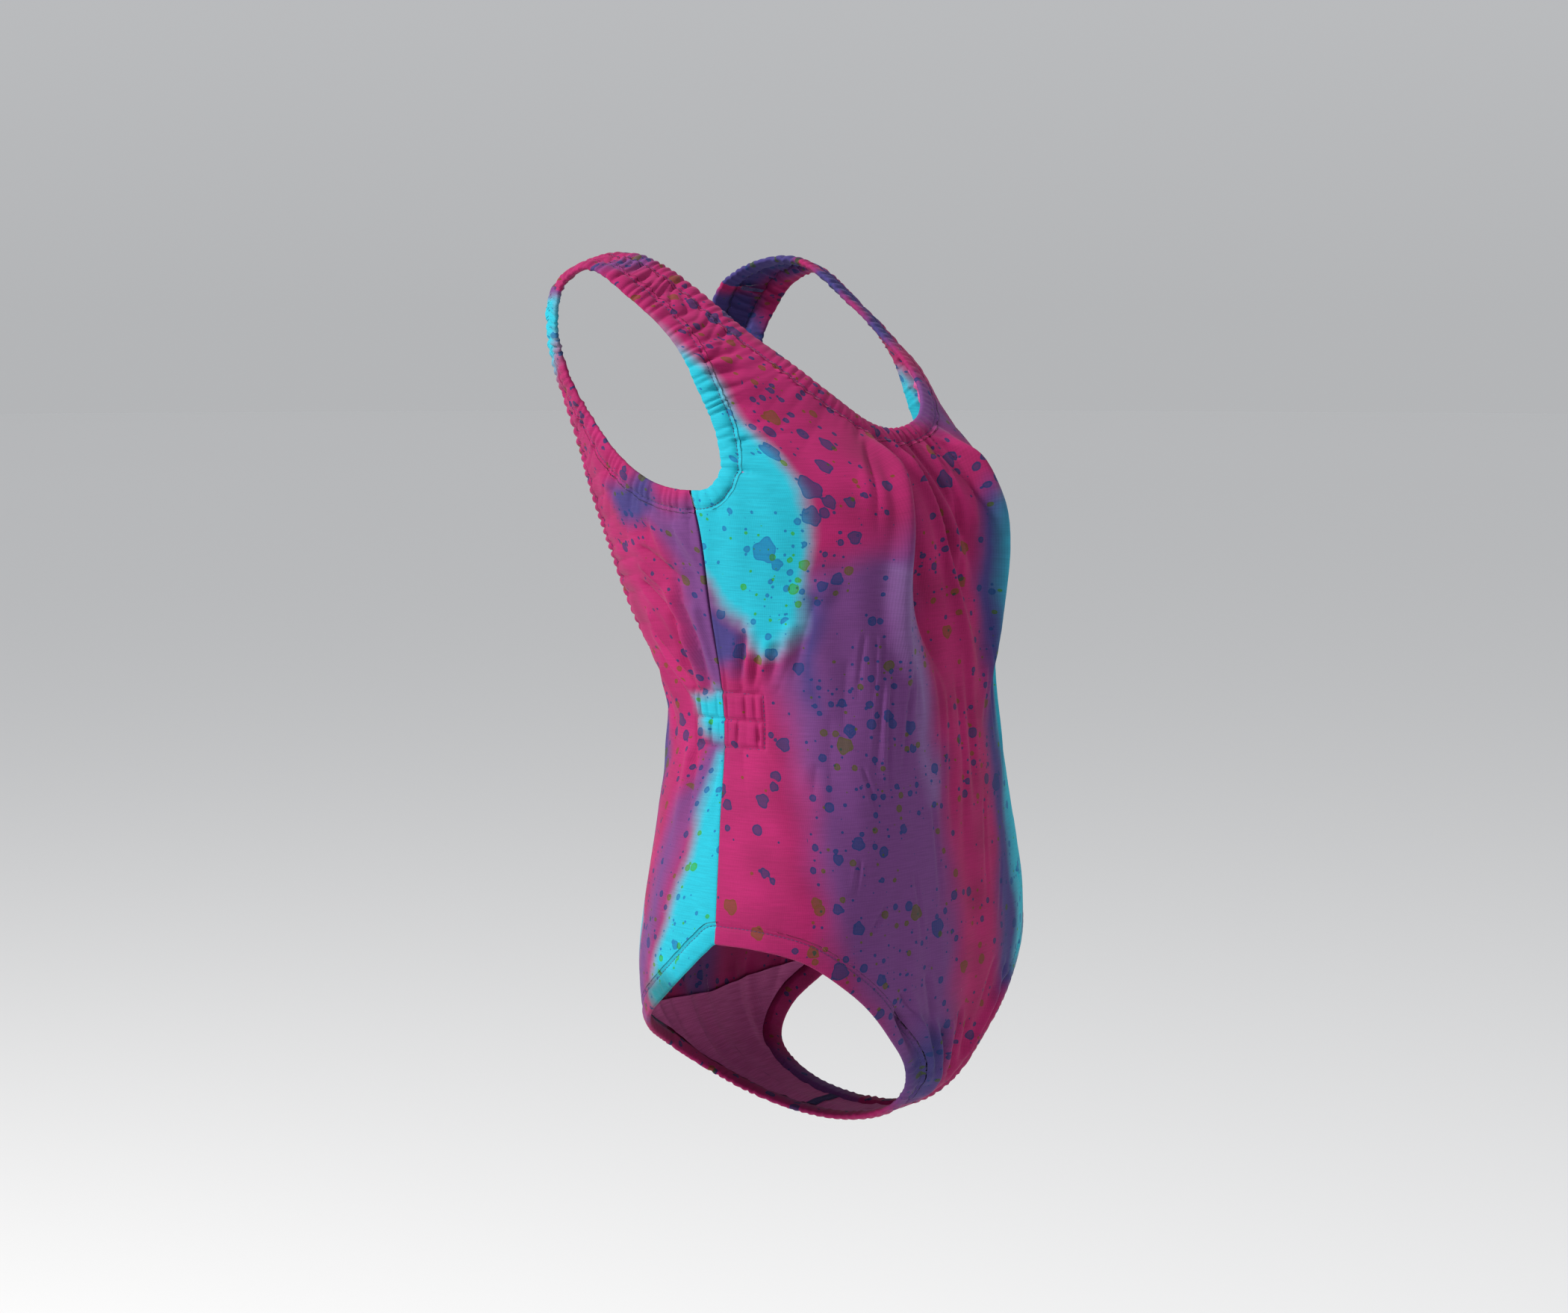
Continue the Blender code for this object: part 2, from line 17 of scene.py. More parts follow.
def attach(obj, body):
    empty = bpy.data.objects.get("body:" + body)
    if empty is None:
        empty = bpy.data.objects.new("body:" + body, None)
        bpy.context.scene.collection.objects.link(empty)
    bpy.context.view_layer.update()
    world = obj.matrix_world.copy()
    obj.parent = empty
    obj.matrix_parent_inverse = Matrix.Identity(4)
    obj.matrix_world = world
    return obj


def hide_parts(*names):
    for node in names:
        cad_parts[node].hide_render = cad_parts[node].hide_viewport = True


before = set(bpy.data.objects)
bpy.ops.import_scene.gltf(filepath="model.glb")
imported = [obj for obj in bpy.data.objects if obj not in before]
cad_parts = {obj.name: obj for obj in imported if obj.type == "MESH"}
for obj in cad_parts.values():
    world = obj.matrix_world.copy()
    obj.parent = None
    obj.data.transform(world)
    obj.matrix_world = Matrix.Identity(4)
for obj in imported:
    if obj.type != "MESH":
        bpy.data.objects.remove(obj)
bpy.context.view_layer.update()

# ---- the garment's sizes, mostly the same as the CAD model's ----
# the casing round each opening: its width, the stitched hem's width, half its thickness, and its elastic
CASING = 0.015
HEM = 0.013
FOLD = 0.0018
ELASTIC_START = 0.0015
ELASTIC_WIDTH = 0.009
ELASTIC = 0.0006
THREAD = 0.0005
# how nearly the two cloths meet at a seam, and how far the cloth's edge turns in along the side seam
SEAM_GAP = 0.00003
SEAM_TURN = 0.9998
SEAM_LIP = 0.0022
# how deep each inner piece lies below the cloth's outside
LINING_DEPTH = 0.0023
OVERLOCK_DEPTH = 0.0029
SHOULDER_OVERLOCK_DEPTH = 0.0034
LINING_ELASTIC_DEPTH = 0.0028
WAIST_ELASTIC_DEPTH = 0.0036
WAIST_CASING_DEPTH = 0.0048
OVERLOCK_WIDTH = 0.006
# the waist tab: one channel's width, its elastic's width, and its reach in front of and behind the side seam
CHANNEL = 0.0195
WAIST_ELASTIC_WIDTH = 0.014
TAB_FRONT = 0.034
TAB_BACK = 0.028

# level by level: run, height, half width, seam y, front y, back y
SIZES = (
    (-0.370, -0.316, 0.080, -0.0200, -0.0200, -0.0200),
    (-0.330, -0.308, 0.095, -0.0180, -0.0680, 0.0380),
    (-0.290, -0.286, 0.122, -0.0150, -0.1000, 0.0850),
    (-0.245, -0.246, 0.152, -0.0130, -0.1180, 0.1100),
    (-0.200, -0.200, 0.164, -0.0160, -0.1260, 0.1130),
    (-0.150, -0.150, 0.165, -0.0190, -0.1270, 0.1080),
    (-0.075, -0.075, 0.147, -0.0100, -0.1230, 0.1000),
    (0.000, 0.000, 0.128, 0.0000, -0.1180, 0.0980),
    (0.080, 0.080, 0.131, 0.0120, -0.1060, 0.1420),
    (0.165, 0.165, 0.141, 0.0220, -0.0880, 0.1780),
    (0.210, 0.210, 0.138, 0.0470, -0.0620, 0.1940),
    (0.250, 0.248, 0.144, 0.0670, -0.0400, 0.2040),
    (0.290, 0.280, 0.150, 0.0850, 0.0000, 0.2060),
    (0.325, 0.305, 0.154, 0.0960, 0.0360, 0.1960),
    (0.360, 0.324, 0.156, 0.1050, 0.0640, 0.1760),
    (0.390, 0.335, 0.157, 0.1100, 0.0880, 0.1440),
    (0.420, 0.339, 0.158, 0.1125, 0.1125, 0.1125),
)
CROTCH = SIZES[0][0]
RIDGE = SIZES[-1][0]
PERIOD = 2 * (RIDGE - CROTCH)
SQUARENESS = 0.3
STRAP_X = 0.10
SHOULDER_SLOPE = 0.2
SHOULDER_START = 0.25
SHOULDER_END = 0.36
FULLNESS = 0.025
FULLNESS_X = 0.073
FULLNESS_WIDTH = 0.042
FULLNESS_RUN = 0.165
FULLNESS_ABOVE = 0.055
FULLNESS_BELOW = 0.10
SHOULDER_SEAM = 0.490
CROTCH_SEAM = -0.385

# the openings' edges on one half, as turn and run
NECK_EDGE = (
    (0.000, 0.2085), (0.169, 0.2165), (0.290, 0.238), (0.357, 0.265), (0.394, 0.290), (0.407, 0.325),
    (0.427, 0.365), (0.436, 0.420), (0.448, 0.480), (0.459, 0.540), (0.498, 0.620), (0.498, 0.690),
    (0.490, 0.745), (0.413, 0.795), (0.255, 0.830), (0.000, 0.848),
)
ARM_EDGE = (
    (1.000, 0.165), (0.925, 0.168), (0.860, 0.180), (0.815, 0.203), (0.780, 0.250), (0.725, 0.290),
    (0.715, 0.325), (0.738, 0.360), (0.760, 0.420), (0.752, 0.480), (0.727, 0.515), (0.690, 0.550),
    (0.665, 0.590), (0.726, 0.630), (0.812, 0.657), (0.900, 0.671), (1.000, 0.675),
)
LEG_EDGE = (
    (1.000, -0.157), (0.850, -0.158), (0.683, -0.166), (0.495, -0.192), (0.324, -0.230), (0.213, -0.265),
    (0.183, -0.300), (0.208, -0.335), (0.245, -0.370), (0.240, -0.410), (0.278, -0.450), (0.392, -0.477),
    (0.502, -0.493), (0.640, -0.513), (0.800, -0.538), (0.900, -0.560), (0.960, -0.575), (1.000, -0.583),
)

# the CAD model's rows of cloth, each divided FINENESS times here
STRAP_ROWS = 19
BACK_STRAP_ROWS = 17
RIB_ROWS = 8
HIP_ROWS = 6
LEG_ROWS = 11
LINING_TOP_ROW = 10
LINING_BOTTOM_ROW = STRAP_ROWS + 3
CROTCH_LINING_ROWS = 7
FINENESS = 14
COLUMNS_BY_WIDTH = ((0.055, 20), (0.085, 40), (0.130, 80), (9.0, 160))
SEAM_CROWDING = 0.4


# ---------------------------------------------------------------- the smooth cloth, as in the CAD model

def smooth(knots, values, at):
    """Read a smooth curve through the values, whose slope at each knot comes from its neighbours."""
    slopes = np.gradient(values, knots)
    left = np.clip(np.searchsorted(knots, at, side="right") - 1, 0, len(knots) - 2)
    width = knots[left + 1] - knots[left]
    s = (at - knots[left]) / width
    start = values[left] * (2 * s**3 - 3 * s**2 + 1) + slopes[left] * width * (s**3 - 2 * s**2 + s)
    end = values[left + 1] * (3 * s**2 - 2 * s**3) + slopes[left + 1] * width * (s**3 - s**2)
    return start + end


def smooth_step(value, start, end):
    """Rise smoothly from 0 at start to 1 at end."""
    s = np.clip((value - start) / (end - start), 0, 1)
    return s * s * (3 - 2 * s)


def size_columns():
    """List the sizes once round the garment: run, height, half width, seam y and centre y."""
    front = [(run, z, half, seam, front_y) for run, z, half, seam, front_y, _ in SIZES]
    back = [(2 * RIDGE - run, z, half, seam, back_y) for run, z, half, seam, _, back_y in SIZES[::-1]]
    once = np.array(front + back[1:-1])
    turn_of = np.array([PERIOD, 0, 0, 0, 0])
    return np.concatenate([once[-3:] - turn_of, once, once[:3] + turn_of]).T


COLUMNS = size_columns()


def once_round(run):
    """Bring a run into the one range that covers the garment once."""
    return (np.asarray(run, float) - CROTCH) % PERIOD + CROTCH


def measure(run):
    """Give the height, half width, seam y and centre y at a run."""
    run = once_round(run)
    return [smooth(COLUMNS[0], column, run) for column in COLUMNS[1:]]


def fullness(x, run):
    """How far the gathered front stands out."""
    above = np.where(run > FULLNESS_RUN, FULLNESS_ABOVE, FULLNESS_BELOW)
    along = np.exp(-((run - FULLNESS_RUN) / above) ** 2)
    return FULLNESS * along * np.exp(-((np.abs(x) - FULLNESS_X) / FULLNESS_WIDTH) ** 2)


def cloth(turn, run):
    """Place the middle of the cloth, on the right half."""
    height, half, seam_y, centre_y = measure(run)
    angle = np.asarray(turn) * math.pi / 2
    x = -half * np.sin(angle)
    depth = np.cos(angle) * (1 + SQUARENESS * np.sin(angle) ** 2)
    y = seam_y + (centre_y - seam_y) * depth - fullness(x, run)
    from_ridge = RIDGE - np.abs(np.asarray(run) - RIDGE)
    slope = SHOULDER_SLOPE * smooth_step(from_ridge, SHOULDER_START, SHOULDER_END)
    z = height + slope * (x + STRAP_X)
    return np.stack([x, y, z], axis=-1)


def unit(vectors):
    """Scale vectors to length 1."""
    return vectors / np.linalg.norm(vectors, axis=-1, keepdims=True)


def lengths_along(points):
    """Give how far along a line each of its points is."""
    return np.concatenate([[0], np.cumsum(np.linalg.norm(np.diff(points, axis=0), axis=1))])


def directions(turn, run, step=1e-4):
    """Give the cloth's two slopes, with turn and with run."""
    with_turn = (cloth(turn + step, run) - cloth(turn - step, run)) / (2 * step)
    with_run = (cloth(turn, run + step) - cloth(turn, run - step)) / (2 * step)
    return with_turn, with_run


def outward(turn, run):
    """Give the direction straight out of the cloth."""
    with_turn, with_run = directions(turn, run)
    return unit(np.cross(with_run, with_turn))


def walk(turn, run, direction, distance, steps=6):
    """Move along the cloth from places on it, towards a direction in space."""
    for _ in range(steps):
        normal = outward(turn, run)
        flat = unit(direction - np.sum(direction * normal, axis=-1, keepdims=True) * normal)
        with_turn, with_run = directions(turn, run)
        aa, bb = np.sum(with_turn**2, axis=-1), np.sum(with_run**2, axis=-1)
        ab = np.sum(with_turn * with_run, axis=-1)
        a, b = np.sum(with_turn * flat, axis=-1), np.sum(with_run * flat, axis=-1)
        scale = distance / steps / (aa * bb - ab * ab)
        turn = turn + (a * bb - b * ab) * scale
        run = run + (b * aa - a * ab) * scale
    return turn, run


# ---------------------------------------------------------------- the edges and distances from them

class Edge:
    """The edge of an opening on the right half: its line, its casing's inner line, and distances from it."""

    def __init__(self, points, cloth_side, steps=6000):
        points = np.array(points)
        first = (2 * points[0, 0] - points[1, 0], points[1, 1])
        last = (2 * points[-1, 0] - points[-2, 0], points[-2, 1])
        points = np.vstack([first, points, last])
        knots = lengths_along(cloth(points[:, 0], points[:, 1]))
        at = np.linspace(knots[1], knots[-2], steps)
        turn, run = smooth(knots, points[:, 0], at), smooth(knots, points[:, 1], at)
        self.places = cloth(turn, run)
        inward = np.cross(outward(turn, run), np.gradient(self.places, axis=0)) * cloth_side
        inner_turn, inner_run = walk(turn, run, unit(inward), CASING)
        inner_turn[[0, -1]] = turn[[0, -1]]
        self.line = np.stack([turn, run, inner_turn, inner_run], axis=1)
        self.arcs = lengths_along(self.places)
        self.along = unit(np.gradient(self.places, axis=0))
        self.inward = unit(cloth(self.line[:, 2], self.line[:, 3]) - self.places + 1e-9)
        self.tree = KDTree(len(self.places))
        for index, place in enumerate(self.places):
            self.tree.insert(place, index)
        self.tree.balance()

    def arc_at(self, run):
        """Find how far along the edge it reaches a run; its ends are reached only at its ends."""
        if run in (self.line[0, 1], self.line[-1, 1]):
            return self.arcs[0] if run == self.line[0, 1] else self.arcs[-1]
        rising = np.sign(self.line[-1, 1] - self.line[0, 1])
        return self.arcs[np.argmax(self.line[:, 1] * rising > run * rising)]

    def part(self, start_run, end_run, count):
        """Take evenly spaced places on the edge from one run to another."""
        at = np.linspace(self.arc_at(start_run), self.arc_at(end_run), count + 1)
        return np.stack([np.interp(at, self.arcs, column) for column in self.line.T], axis=1)

    def nearest(self, places):
        """Give each place's distance from the edge, the arc there, and the way into the cloth."""
        found = np.array([self.tree.find(place)[1] for place in places])
        gap = places - self.places[found]
        slide = np.sum(gap * self.along[found], axis=1)
        slide = np.where((found == 0) | (found == len(self.arcs) - 1), 0, slide)
        distance = np.linalg.norm(gap - self.along[found] * slide[:, None], axis=1)
        return distance, self.arcs[found] + slide, self.inward[found]


EDGES = {"neck": Edge(NECK_EDGE, 1), "arm": Edge(ARM_EDGE, -1), "leg": Edge(LEG_EDGE, 1)}


# ---------------------------------------------------------------- distances round the garment

TURN_KNOTS = np.linspace(0, 1, 61)
RUN_KNOTS = np.linspace(CROTCH, CROTCH + PERIOD, 317)


def girth_table():
    """Tabulate the distance round from the centre line, by run and turn."""
    places = cloth(TURN_KNOTS[None, :], RUN_KNOTS[:, None])
    steps = np.linalg.norm(np.diff(places, axis=1), axis=2)
    return np.concatenate([np.zeros((len(RUN_KNOTS), 1)), np.cumsum(steps, axis=1)], axis=1)


GIRTHS = girth_table()


def girth(turn, run):
    """Give the distance round from the centre line."""
    last_run, last_turn = len(RUN_KNOTS) - 1, len(TURN_KNOTS) - 1
    down = (once_round(run) - RUN_KNOTS[0]) / (RUN_KNOTS[1] - RUN_KNOTS[0])
    down = np.clip(down, 0, last_run - 0.001)
    over = np.clip(np.asarray(turn) * last_turn, 0, last_turn - 0.001)
    i, j = down.astype(int), over.astype(int)
    u, v = down - i, over - j
    low = GIRTHS[i, j] * (1 - v) + GIRTHS[i, j + 1] * v
    high = GIRTHS[i + 1, j] * (1 - v) + GIRTHS[i + 1, j + 1] * v
    return low * (1 - u) + high * u


# ---------------------------------------------------------------- waves and wrinkles

WAVE_PEAK = 1.6  # the usual peak of several waves, in terms of their spread


def wander(arc, loop, seed, lowest=4, highest=26):
    """Vary smoothly and irregularly along a closed edge, between about -1 and 1."""
    draw = np.random.default_rng(seed)
    total = np.zeros(np.shape(arc))
    counts = np.arange(lowest, highest)
    for count, shift in zip(counts, draw.uniform(0, 2 * math.pi, len(counts))):
        total += np.sin(2 * math.pi * count * arc / loop + shift)
    return total / math.sqrt(len(counts) / 2) / WAVE_PEAK


def swell(across, run, size_across, size_run, seed, waves=14):
    """Vary smoothly over the cloth, between about -1 and 1, with waves of roughly the given sizes."""
    draw = np.random.default_rng(seed)
    total = np.zeros(np.shape(across))
    for _ in range(waves):
        angle, shift = draw.uniform(0, 2 * math.pi), draw.uniform(0, 2 * math.pi)
        stretch = draw.uniform(0.6, 1.5)
        along = math.cos(angle) * across / size_across + math.sin(angle) * run / size_run
        total += np.sin(stretch * 2 * math.pi * along + shift)
    return total / math.sqrt(waves / 2) / WAVE_PEAK


def pleat(phase):
    """Rise and fall like gathered cloth, with round crests and narrow valleys, from 0 to 1."""
    return np.abs(np.sin(phase / 2)) ** 0.6


def bell(value, width):
    """Fall away from 1 at zero on both sides."""
    return np.exp(-((value / width) ** 2))


# ---------------------------------------------------------------- where the cloth is gathered

# fine and coarse wavelengths, fine and coarse heights, and how far each reaches from the stitching
GATHERS = {
    "neck": (0.0068, 0.0160, 0.0018, 0.0026, 0.008, 0.030),
    "arm": (0.0070, 0.0170, 0.0018, 0.0026, 0.008, 0.026),
    "leg": (0.0075, 0.0170, 0.0010, 0.0020, 0.008, 0.024),
}
# how strongly each edge is gathered, by run
STRENGTHS = {
    "neck": ((0.20, 1.1), (0.2115, 1.0), (0.222, 0.45), (0.27, 0.5), (0.31, 0.8), (0.35, 1.0), (0.60, 1.0),
             (0.70, 1.1), (0.85, 1.1)),
    "arm": ((0.16, 0.85), (0.20, 0.8), (0.27, 0.95), (0.33, 1.0), (0.58, 1.0), (0.63, 0.9), (0.675, 0.85)),
    "leg": ((-0.60, 0.35), (-0.50, 0.5), (-0.43, 0.9), (-0.34, 1.1), (-0.28, 0.9), (-0.235, 0.35),
            (-0.19, 0.1), (-0.15, 0.06)),
}
# the casings: how far they puff, how deep their gathers cut, and how far those pull the edge in
PUFF = 0.0014
PLAIN_PUFF = 0.35
MOST_PUFF = 1.2
GROOVE = 0.0017
SCALLOP = 0.0007
SCALLOP_REACH = 0.006
CASING_FADE = 0.8
# how irregular the gathers are, in place and in strength, and the middle height of a pleat
FINE_WANDER = 2.6
COARSE_WANDER = 2.4
PLEAT_MIDDLE = 0.75
EVENNESS = 0.75
UNEVENNESS = 0.35
# the dents along the stitching and the side seam, and where the cloths meet at that seam
STITCH_LINE = HEM - 2 * THREAD
STITCH_DENT = 0.0009
STITCH_DENT_WIDTH = 0.0013
SEAM_DENT = 0.0005
SEAM_DENT_WIDTH = 0.0012
SEAM_MEETS = 0.006
# how far the casing puffs on the inside, as a share of its puff outside
INNER_PUFF = 0.6
# the straps' slanting folds: height, slant, long and short wave, and where they start along and across
STRAP_FOLD = 0.0034
STRAP_SLANT = 0.030
STRAP_LONG_WAVE = 0.019
STRAP_SHORT_WAVE = 0.0095
STRAP_LONG_SHARE = 1.15
STRAP_SHORT_SHARE = 0.55
STRAP_SHORT_LOSS = 0.45
STRAP_FOOT = (0.245, 0.30)
STRAP_WIDE = (0.045, 0.085)
STRAP_ENDS = (0.085, 0.13)
STRAP_PLEAT_MIDDLE = 0.7
STRAP_WOBBLE = 2.2
# the waist tab: its puckers' spacing, height, valleys, and the dents along its stitching
TAB_PUCKER = 0.0085
TAB_PUFF = 0.0015
TAB_GROOVE = 0.0046
TAB_GROOVE_WIDTH = 0.0009
TAB_WANDER = 1.3
TAB_OFFSET = 0.15
TAB_DENT = 0.0018
TAB_DENT_WIDTH = 0.0014
# the folds that run out of the tab: height, spacing in puckers, how they fan, and how far they reach
TAB_FOLD = 0.0036
TAB_FOLD_SPACING = 1.7
TAB_FAN = 0.075
TAB_REACH_UP = 0.032
TAB_REACH_DOWN = 0.020
TAB_FOLD_DOWN = 0.55
TAB_FOLD_WIDTH = 1.15
# faint unevenness all over
LOOSENESS = 0.0006

# listed folds, in millimetres: across and run at the start, across and run at the end, width at the start
# and the end, height (a crease where it is negative), and how far the middle bends sideways
FRONT_FOLDS = (
    (48, 206, 33, -14, 6, 9, 9, -27), (37, 206, 4, 10, 6, 15, -14, -12), (25, 206, -34, 10, 3.5, 8, 8, 2),
    (30, 206, 16, 70, 1.6, 3, -2.6, -6), (41, 206, 36, 110, 1.6, 2.6, -2.4, -14),
    (56, 204, 88, 130, 2, 4, -2, -10), (14, 206, -22, 70, 2, 5, -4, 2), (6, 206, -30, 90, 2.4, 7, 3.4, 3),
    (-3, 206, -42, 80, 1.8, 5, -3.4, 4), (-12, 206, -52, 100, 2.4, 7, 2.8, 6),
    (-22, 205, -66, 110, 1.8, 5, -2.6, 8), (-34, 204, -80, 130, 2.2, 6, 2, 10),
    (76, 64, 91, -44, 1.4, 1.8, -1.7, 2), (68, 40, 79, -66, 1.4, 1.8, -1.9, -2),
    (84, 66, 86, 12, 1.4, 1.6, -1.3, 1), (51, 50, 67, -46, 1.4, 2, -1.9, 2),
    (47, 40, 42, -20, 1.5, 2, -1.5, -2), (92, 66, 98, 14, 1.4, 1.8, -1.1, 0),
    (99, -30, 90, -72, 1.3, 1.5, -1.3, 1), (108, -96, 116, -122, 1.3, 1.5, -1.4, 0),
    (59, 70, 60, -30, 3, 4, 1.1, 0), (73, 30, 84, -60, 3, 4, 1.2, 0), (104, 50, 112, -30, 5, 7, -1.2, 0),
    (118, 10, 126, -70, 5, 8, -1, 0), (132, -28, 138, -56, 3, 4, -1.2, 0),
    (20, 40, 24, -90, 2, 4, -1.5, 2), (8, 20, 10, -110, 2, 4, -1.3, -2),
    (-6, 30, -4, -120, 2, 4, -1.5, 2), (-18, 50, -20, -80, 2, 4, -1.3, 0),
    (35, -60, 30, -150, 1.6, 2.4, -1.2, 1), (60, -110, 52, -170, 1.4, 2, -1.1, 0),
    (89, -130, 106, -150, 1.4, 1.6, -1.6, 0), (128, 94, 146, 24, 8, 6, -3.4, 0),
    (143, 76, 156, 30, 6, 5, 2.8, 0), (152, 60, 163, 26, 4.5, 4, -2.6, 0),
    (180, 66, 188, 22, 4, 3, -3.8, 0), (170, 50, 176, 22, 3.5, 2.6, -2.8, 0),
    (175, 70, 183, 24, 5, 4, 2.6, 0), (118, 110, 138, 40, 8, 8, 2, 0), (162, 62, 170, 24, 5, 4, 2, 0),
    (158, 238, 130, 245, 1.6, 2.4, -2.6, 0), (192, 199, 133, 206, 1.7, 1.6, -2.4, 0),
    (190, 183, 158, 180, 1.8, 2, -1.3, 0), (150, 252, 116, 258, 3, 4, -2.6, 0),
    (148, 262, 110, 277, 3.4, 4, -2.2, 0), (142, 280, 104, 291, 3.4, 3.6, -1.8, 0),
    (150, 257, 116, 268, 3.4, 4.2, 2, 0), (146, 271, 108, 285, 3.4, 4, 1.4, 0),
    (80, -204, 18, -320, 5, 8, -9.5, 3), (60, -212, 14, -290, 3, 4.5, 5, 4),
    (36, -220, 2, -310, 4, 5, 6, 3), (76, -196, 40, -226, 3, 3, -3, -3),
    (20, -230, -8, -300, 2.6, 3.4, -5, 0), (-2, -220, -12, -296, 2, 2.8, -3.4, 0),
    (8, -228, 0, -276, 2.4, 3, 2.2, 0), (-16, -230, -22, -276, 2.2, 3, -2.2, 0),
    (48, -186, 30, -236, 2.4, 3, -1.8, 0),
)
BACK_FOLDS = (
    (150, 742, 190, 790, 3, 5, -4.4, 3), (158, 730, 205, 772, 3, 6, 3.4, 3),
    (168, 716, 214, 752, 3, 5, -3.4, 2), (143, 764, 172, 818, 3, 4, 3.4, -2),
    (137, 776, 166, 824, 3, 4, -3.6, -2), (184, 744, 169, 818, 5, 4, 3.8, 0),
    (174, 762, 164, 824, 3, 3, -3.6, 0), (196, 736, 173, 824, 3, 3, -3.2, 2),
    (206, 752, 184, 820, 4, 3, 2.6, 0), (128, 796, 160, 836, 2.6, 4, -3, -2),
    (118, 806, 150, 850, 3, 6, 2.8, -2), (104, 812, 136, 868, 2.4, 6, -2.6, -3),
    (80, 826, 112, 890, 2.6, 8, 2.6, -3), (66, 830, 88, 900, 2.2, 6, -2.4, -2),
    (40, 846, 52, 930, 2.4, 8, 2.2, 0), (26, 848, 34, 920, 2, 6, -2.2, 0),
    (8, 850, 8, 940, 2.4, 8, 2.2, 0), (152, 858, 172, 940, 3, 6, 2, 0), (160, 860, 182, 930, 2, 4, -2, 0),
    (198, 862, 206, 920, 2, 3, -1.6, 0), (186, 864, 196, 900, 1.8, 2.4, -1.6, 0),
    (206, 700, 222, 780, 5, 7, -2.4, 0), (194, 690, 196, 736, 4, 5, 2, 0),
    (216, 692, 234, 760, 3, 5, 1.8, 0), (36, 1060, 22, 1150, 4, 6, -2.6, 0),
    (58, 1050, 34, 1140, 4, 6, 2.4, 0), (10, 1050, 6, 1150, 3, 6, -2.4, 0),
    (90, 1060, 60, 1110, 3, 5, -2, 0),
)

# where along its length a fold rises and fades, and how far the cloth stands up beside a crease
FOLD_START = (-0.02, 0.14)
FOLD_END = (0.55, 1.04)
CREASE_LIP = 0.35
CREASE_LIP_OFF = 2.2
CREASE_LIP_WIDTH = 1.3
# folds that come this near the centre, in millimetres, aren't repeated on the left half;
# the repeated ones are moved by up to these millimetres, and their heights changed by these shares
CENTRE_FOLD = 12
MOVED_ACROSS = 4
MOVED_ALONG = 7
HEIGHT_CHANGE = (0.6, 1.15)


def gather(edge, distance, arc, run):
    """Give the gathers along an edge: their height, the casing's puff and the pull that scallops its edge."""
    fine_wave, coarse_wave, fine_height, coarse_height, fine_reach, coarse_reach = GATHERS[edge]
    table = np.array(STRENGTHS[edge])
    around = once_round(run)
    if edge == "leg":
        around = np.where(around > RIDGE, around - PERIOD, around)
    strength = np.interp(around, table[:, 0], table[:, 1])
    loop = EDGES[edge].arcs[-1] * (2 if edge == "neck" else 1)
    fine_wave, coarse_wave = (loop / round(loop / wave) for wave in (fine_wave, coarse_wave))
    fine = pleat(2 * math.pi * arc / fine_wave + FINE_WANDER * wander(arc, loop, 3))
    coarse = pleat(2 * math.pi * arc / coarse_wave + COARSE_WANDER * wander(arc, loop, 5))
    uneven = EVENNESS + UNEVENNESS * wander(arc, loop, 8, 6, 30)
    within = np.clip(distance / HEM, 0, 1)
    past = np.maximum(distance - HEM, 0)
    in_casing = 1 - smooth_step(distance, CASING_FADE * HEM, HEM)
    height = -GROOVE * (1 - fine) * in_casing * uneven
    past_stitching = 1 - in_casing
    height += fine_height * (fine - PLEAT_MIDDLE) * past_stitching * np.exp(-past / fine_reach) * uneven
    height += coarse_height * (coarse - PLEAT_MIDDLE) * past_stitching * np.exp(-past / coarse_reach)
    height = height * strength - STITCH_DENT * bell(distance - STITCH_LINE, STITCH_DENT_WIDTH)
    gathered = fine * np.minimum(strength, MOST_PUFF)
    puff = PUFF * np.sin(math.pi * within) * (PLAIN_PUFF + (1 - PLAIN_PUFF) * gathered)
    pull = SCALLOP * (1 - fine) * strength * uneven * np.exp(-distance / SCALLOP_REACH)
    return height, puff, pull


def strap_folds(across, run, distances):
    """Give the slanting folds between the two casings of a strap."""
    neck, arm = distances["neck"], distances["arm"]
    width = neck + arm
    share = neck / width
    level = RIDGE - np.abs(run - RIDGE)
    on_strap = smooth_step(level, *STRAP_FOOT) * (1 - smooth_step(width, *STRAP_ENDS))
    wide = smooth_step(width, *STRAP_WIDE)
    phase = (level - STRAP_SLANT * (1 - share)) * 2 * math.pi
    wobble = STRAP_WOBBLE * swell(across, run, 0.05, 0.05, 21)
    large = pleat(phase / STRAP_LONG_WAVE + wobble) - STRAP_PLEAT_MIDDLE
    small = pleat(phase / STRAP_SHORT_WAVE + 1.4 * wobble) - STRAP_PLEAT_MIDDLE
    size = wide * large * STRAP_LONG_SHARE + (1 - STRAP_SHORT_LOSS * wide) * STRAP_SHORT_SHARE * small
    between = smooth_step(neck, 0.6 * HEM, 1.3 * HEM) * smooth_step(arm, 0.6 * HEM, 1.3 * HEM)
    return STRAP_FOLD * size * on_strap * between


def from_seam(turn, run, around):
    """Give the distance from the side seam, counted negative in front, and the level along the seam."""
    reach = girth(np.ones(np.shape(turn)), run) - np.abs(around)
    in_front = once_round(run) < RIDGE
    return np.where(in_front, -reach, reach), np.where(in_front, run, 2 * RIDGE - run)


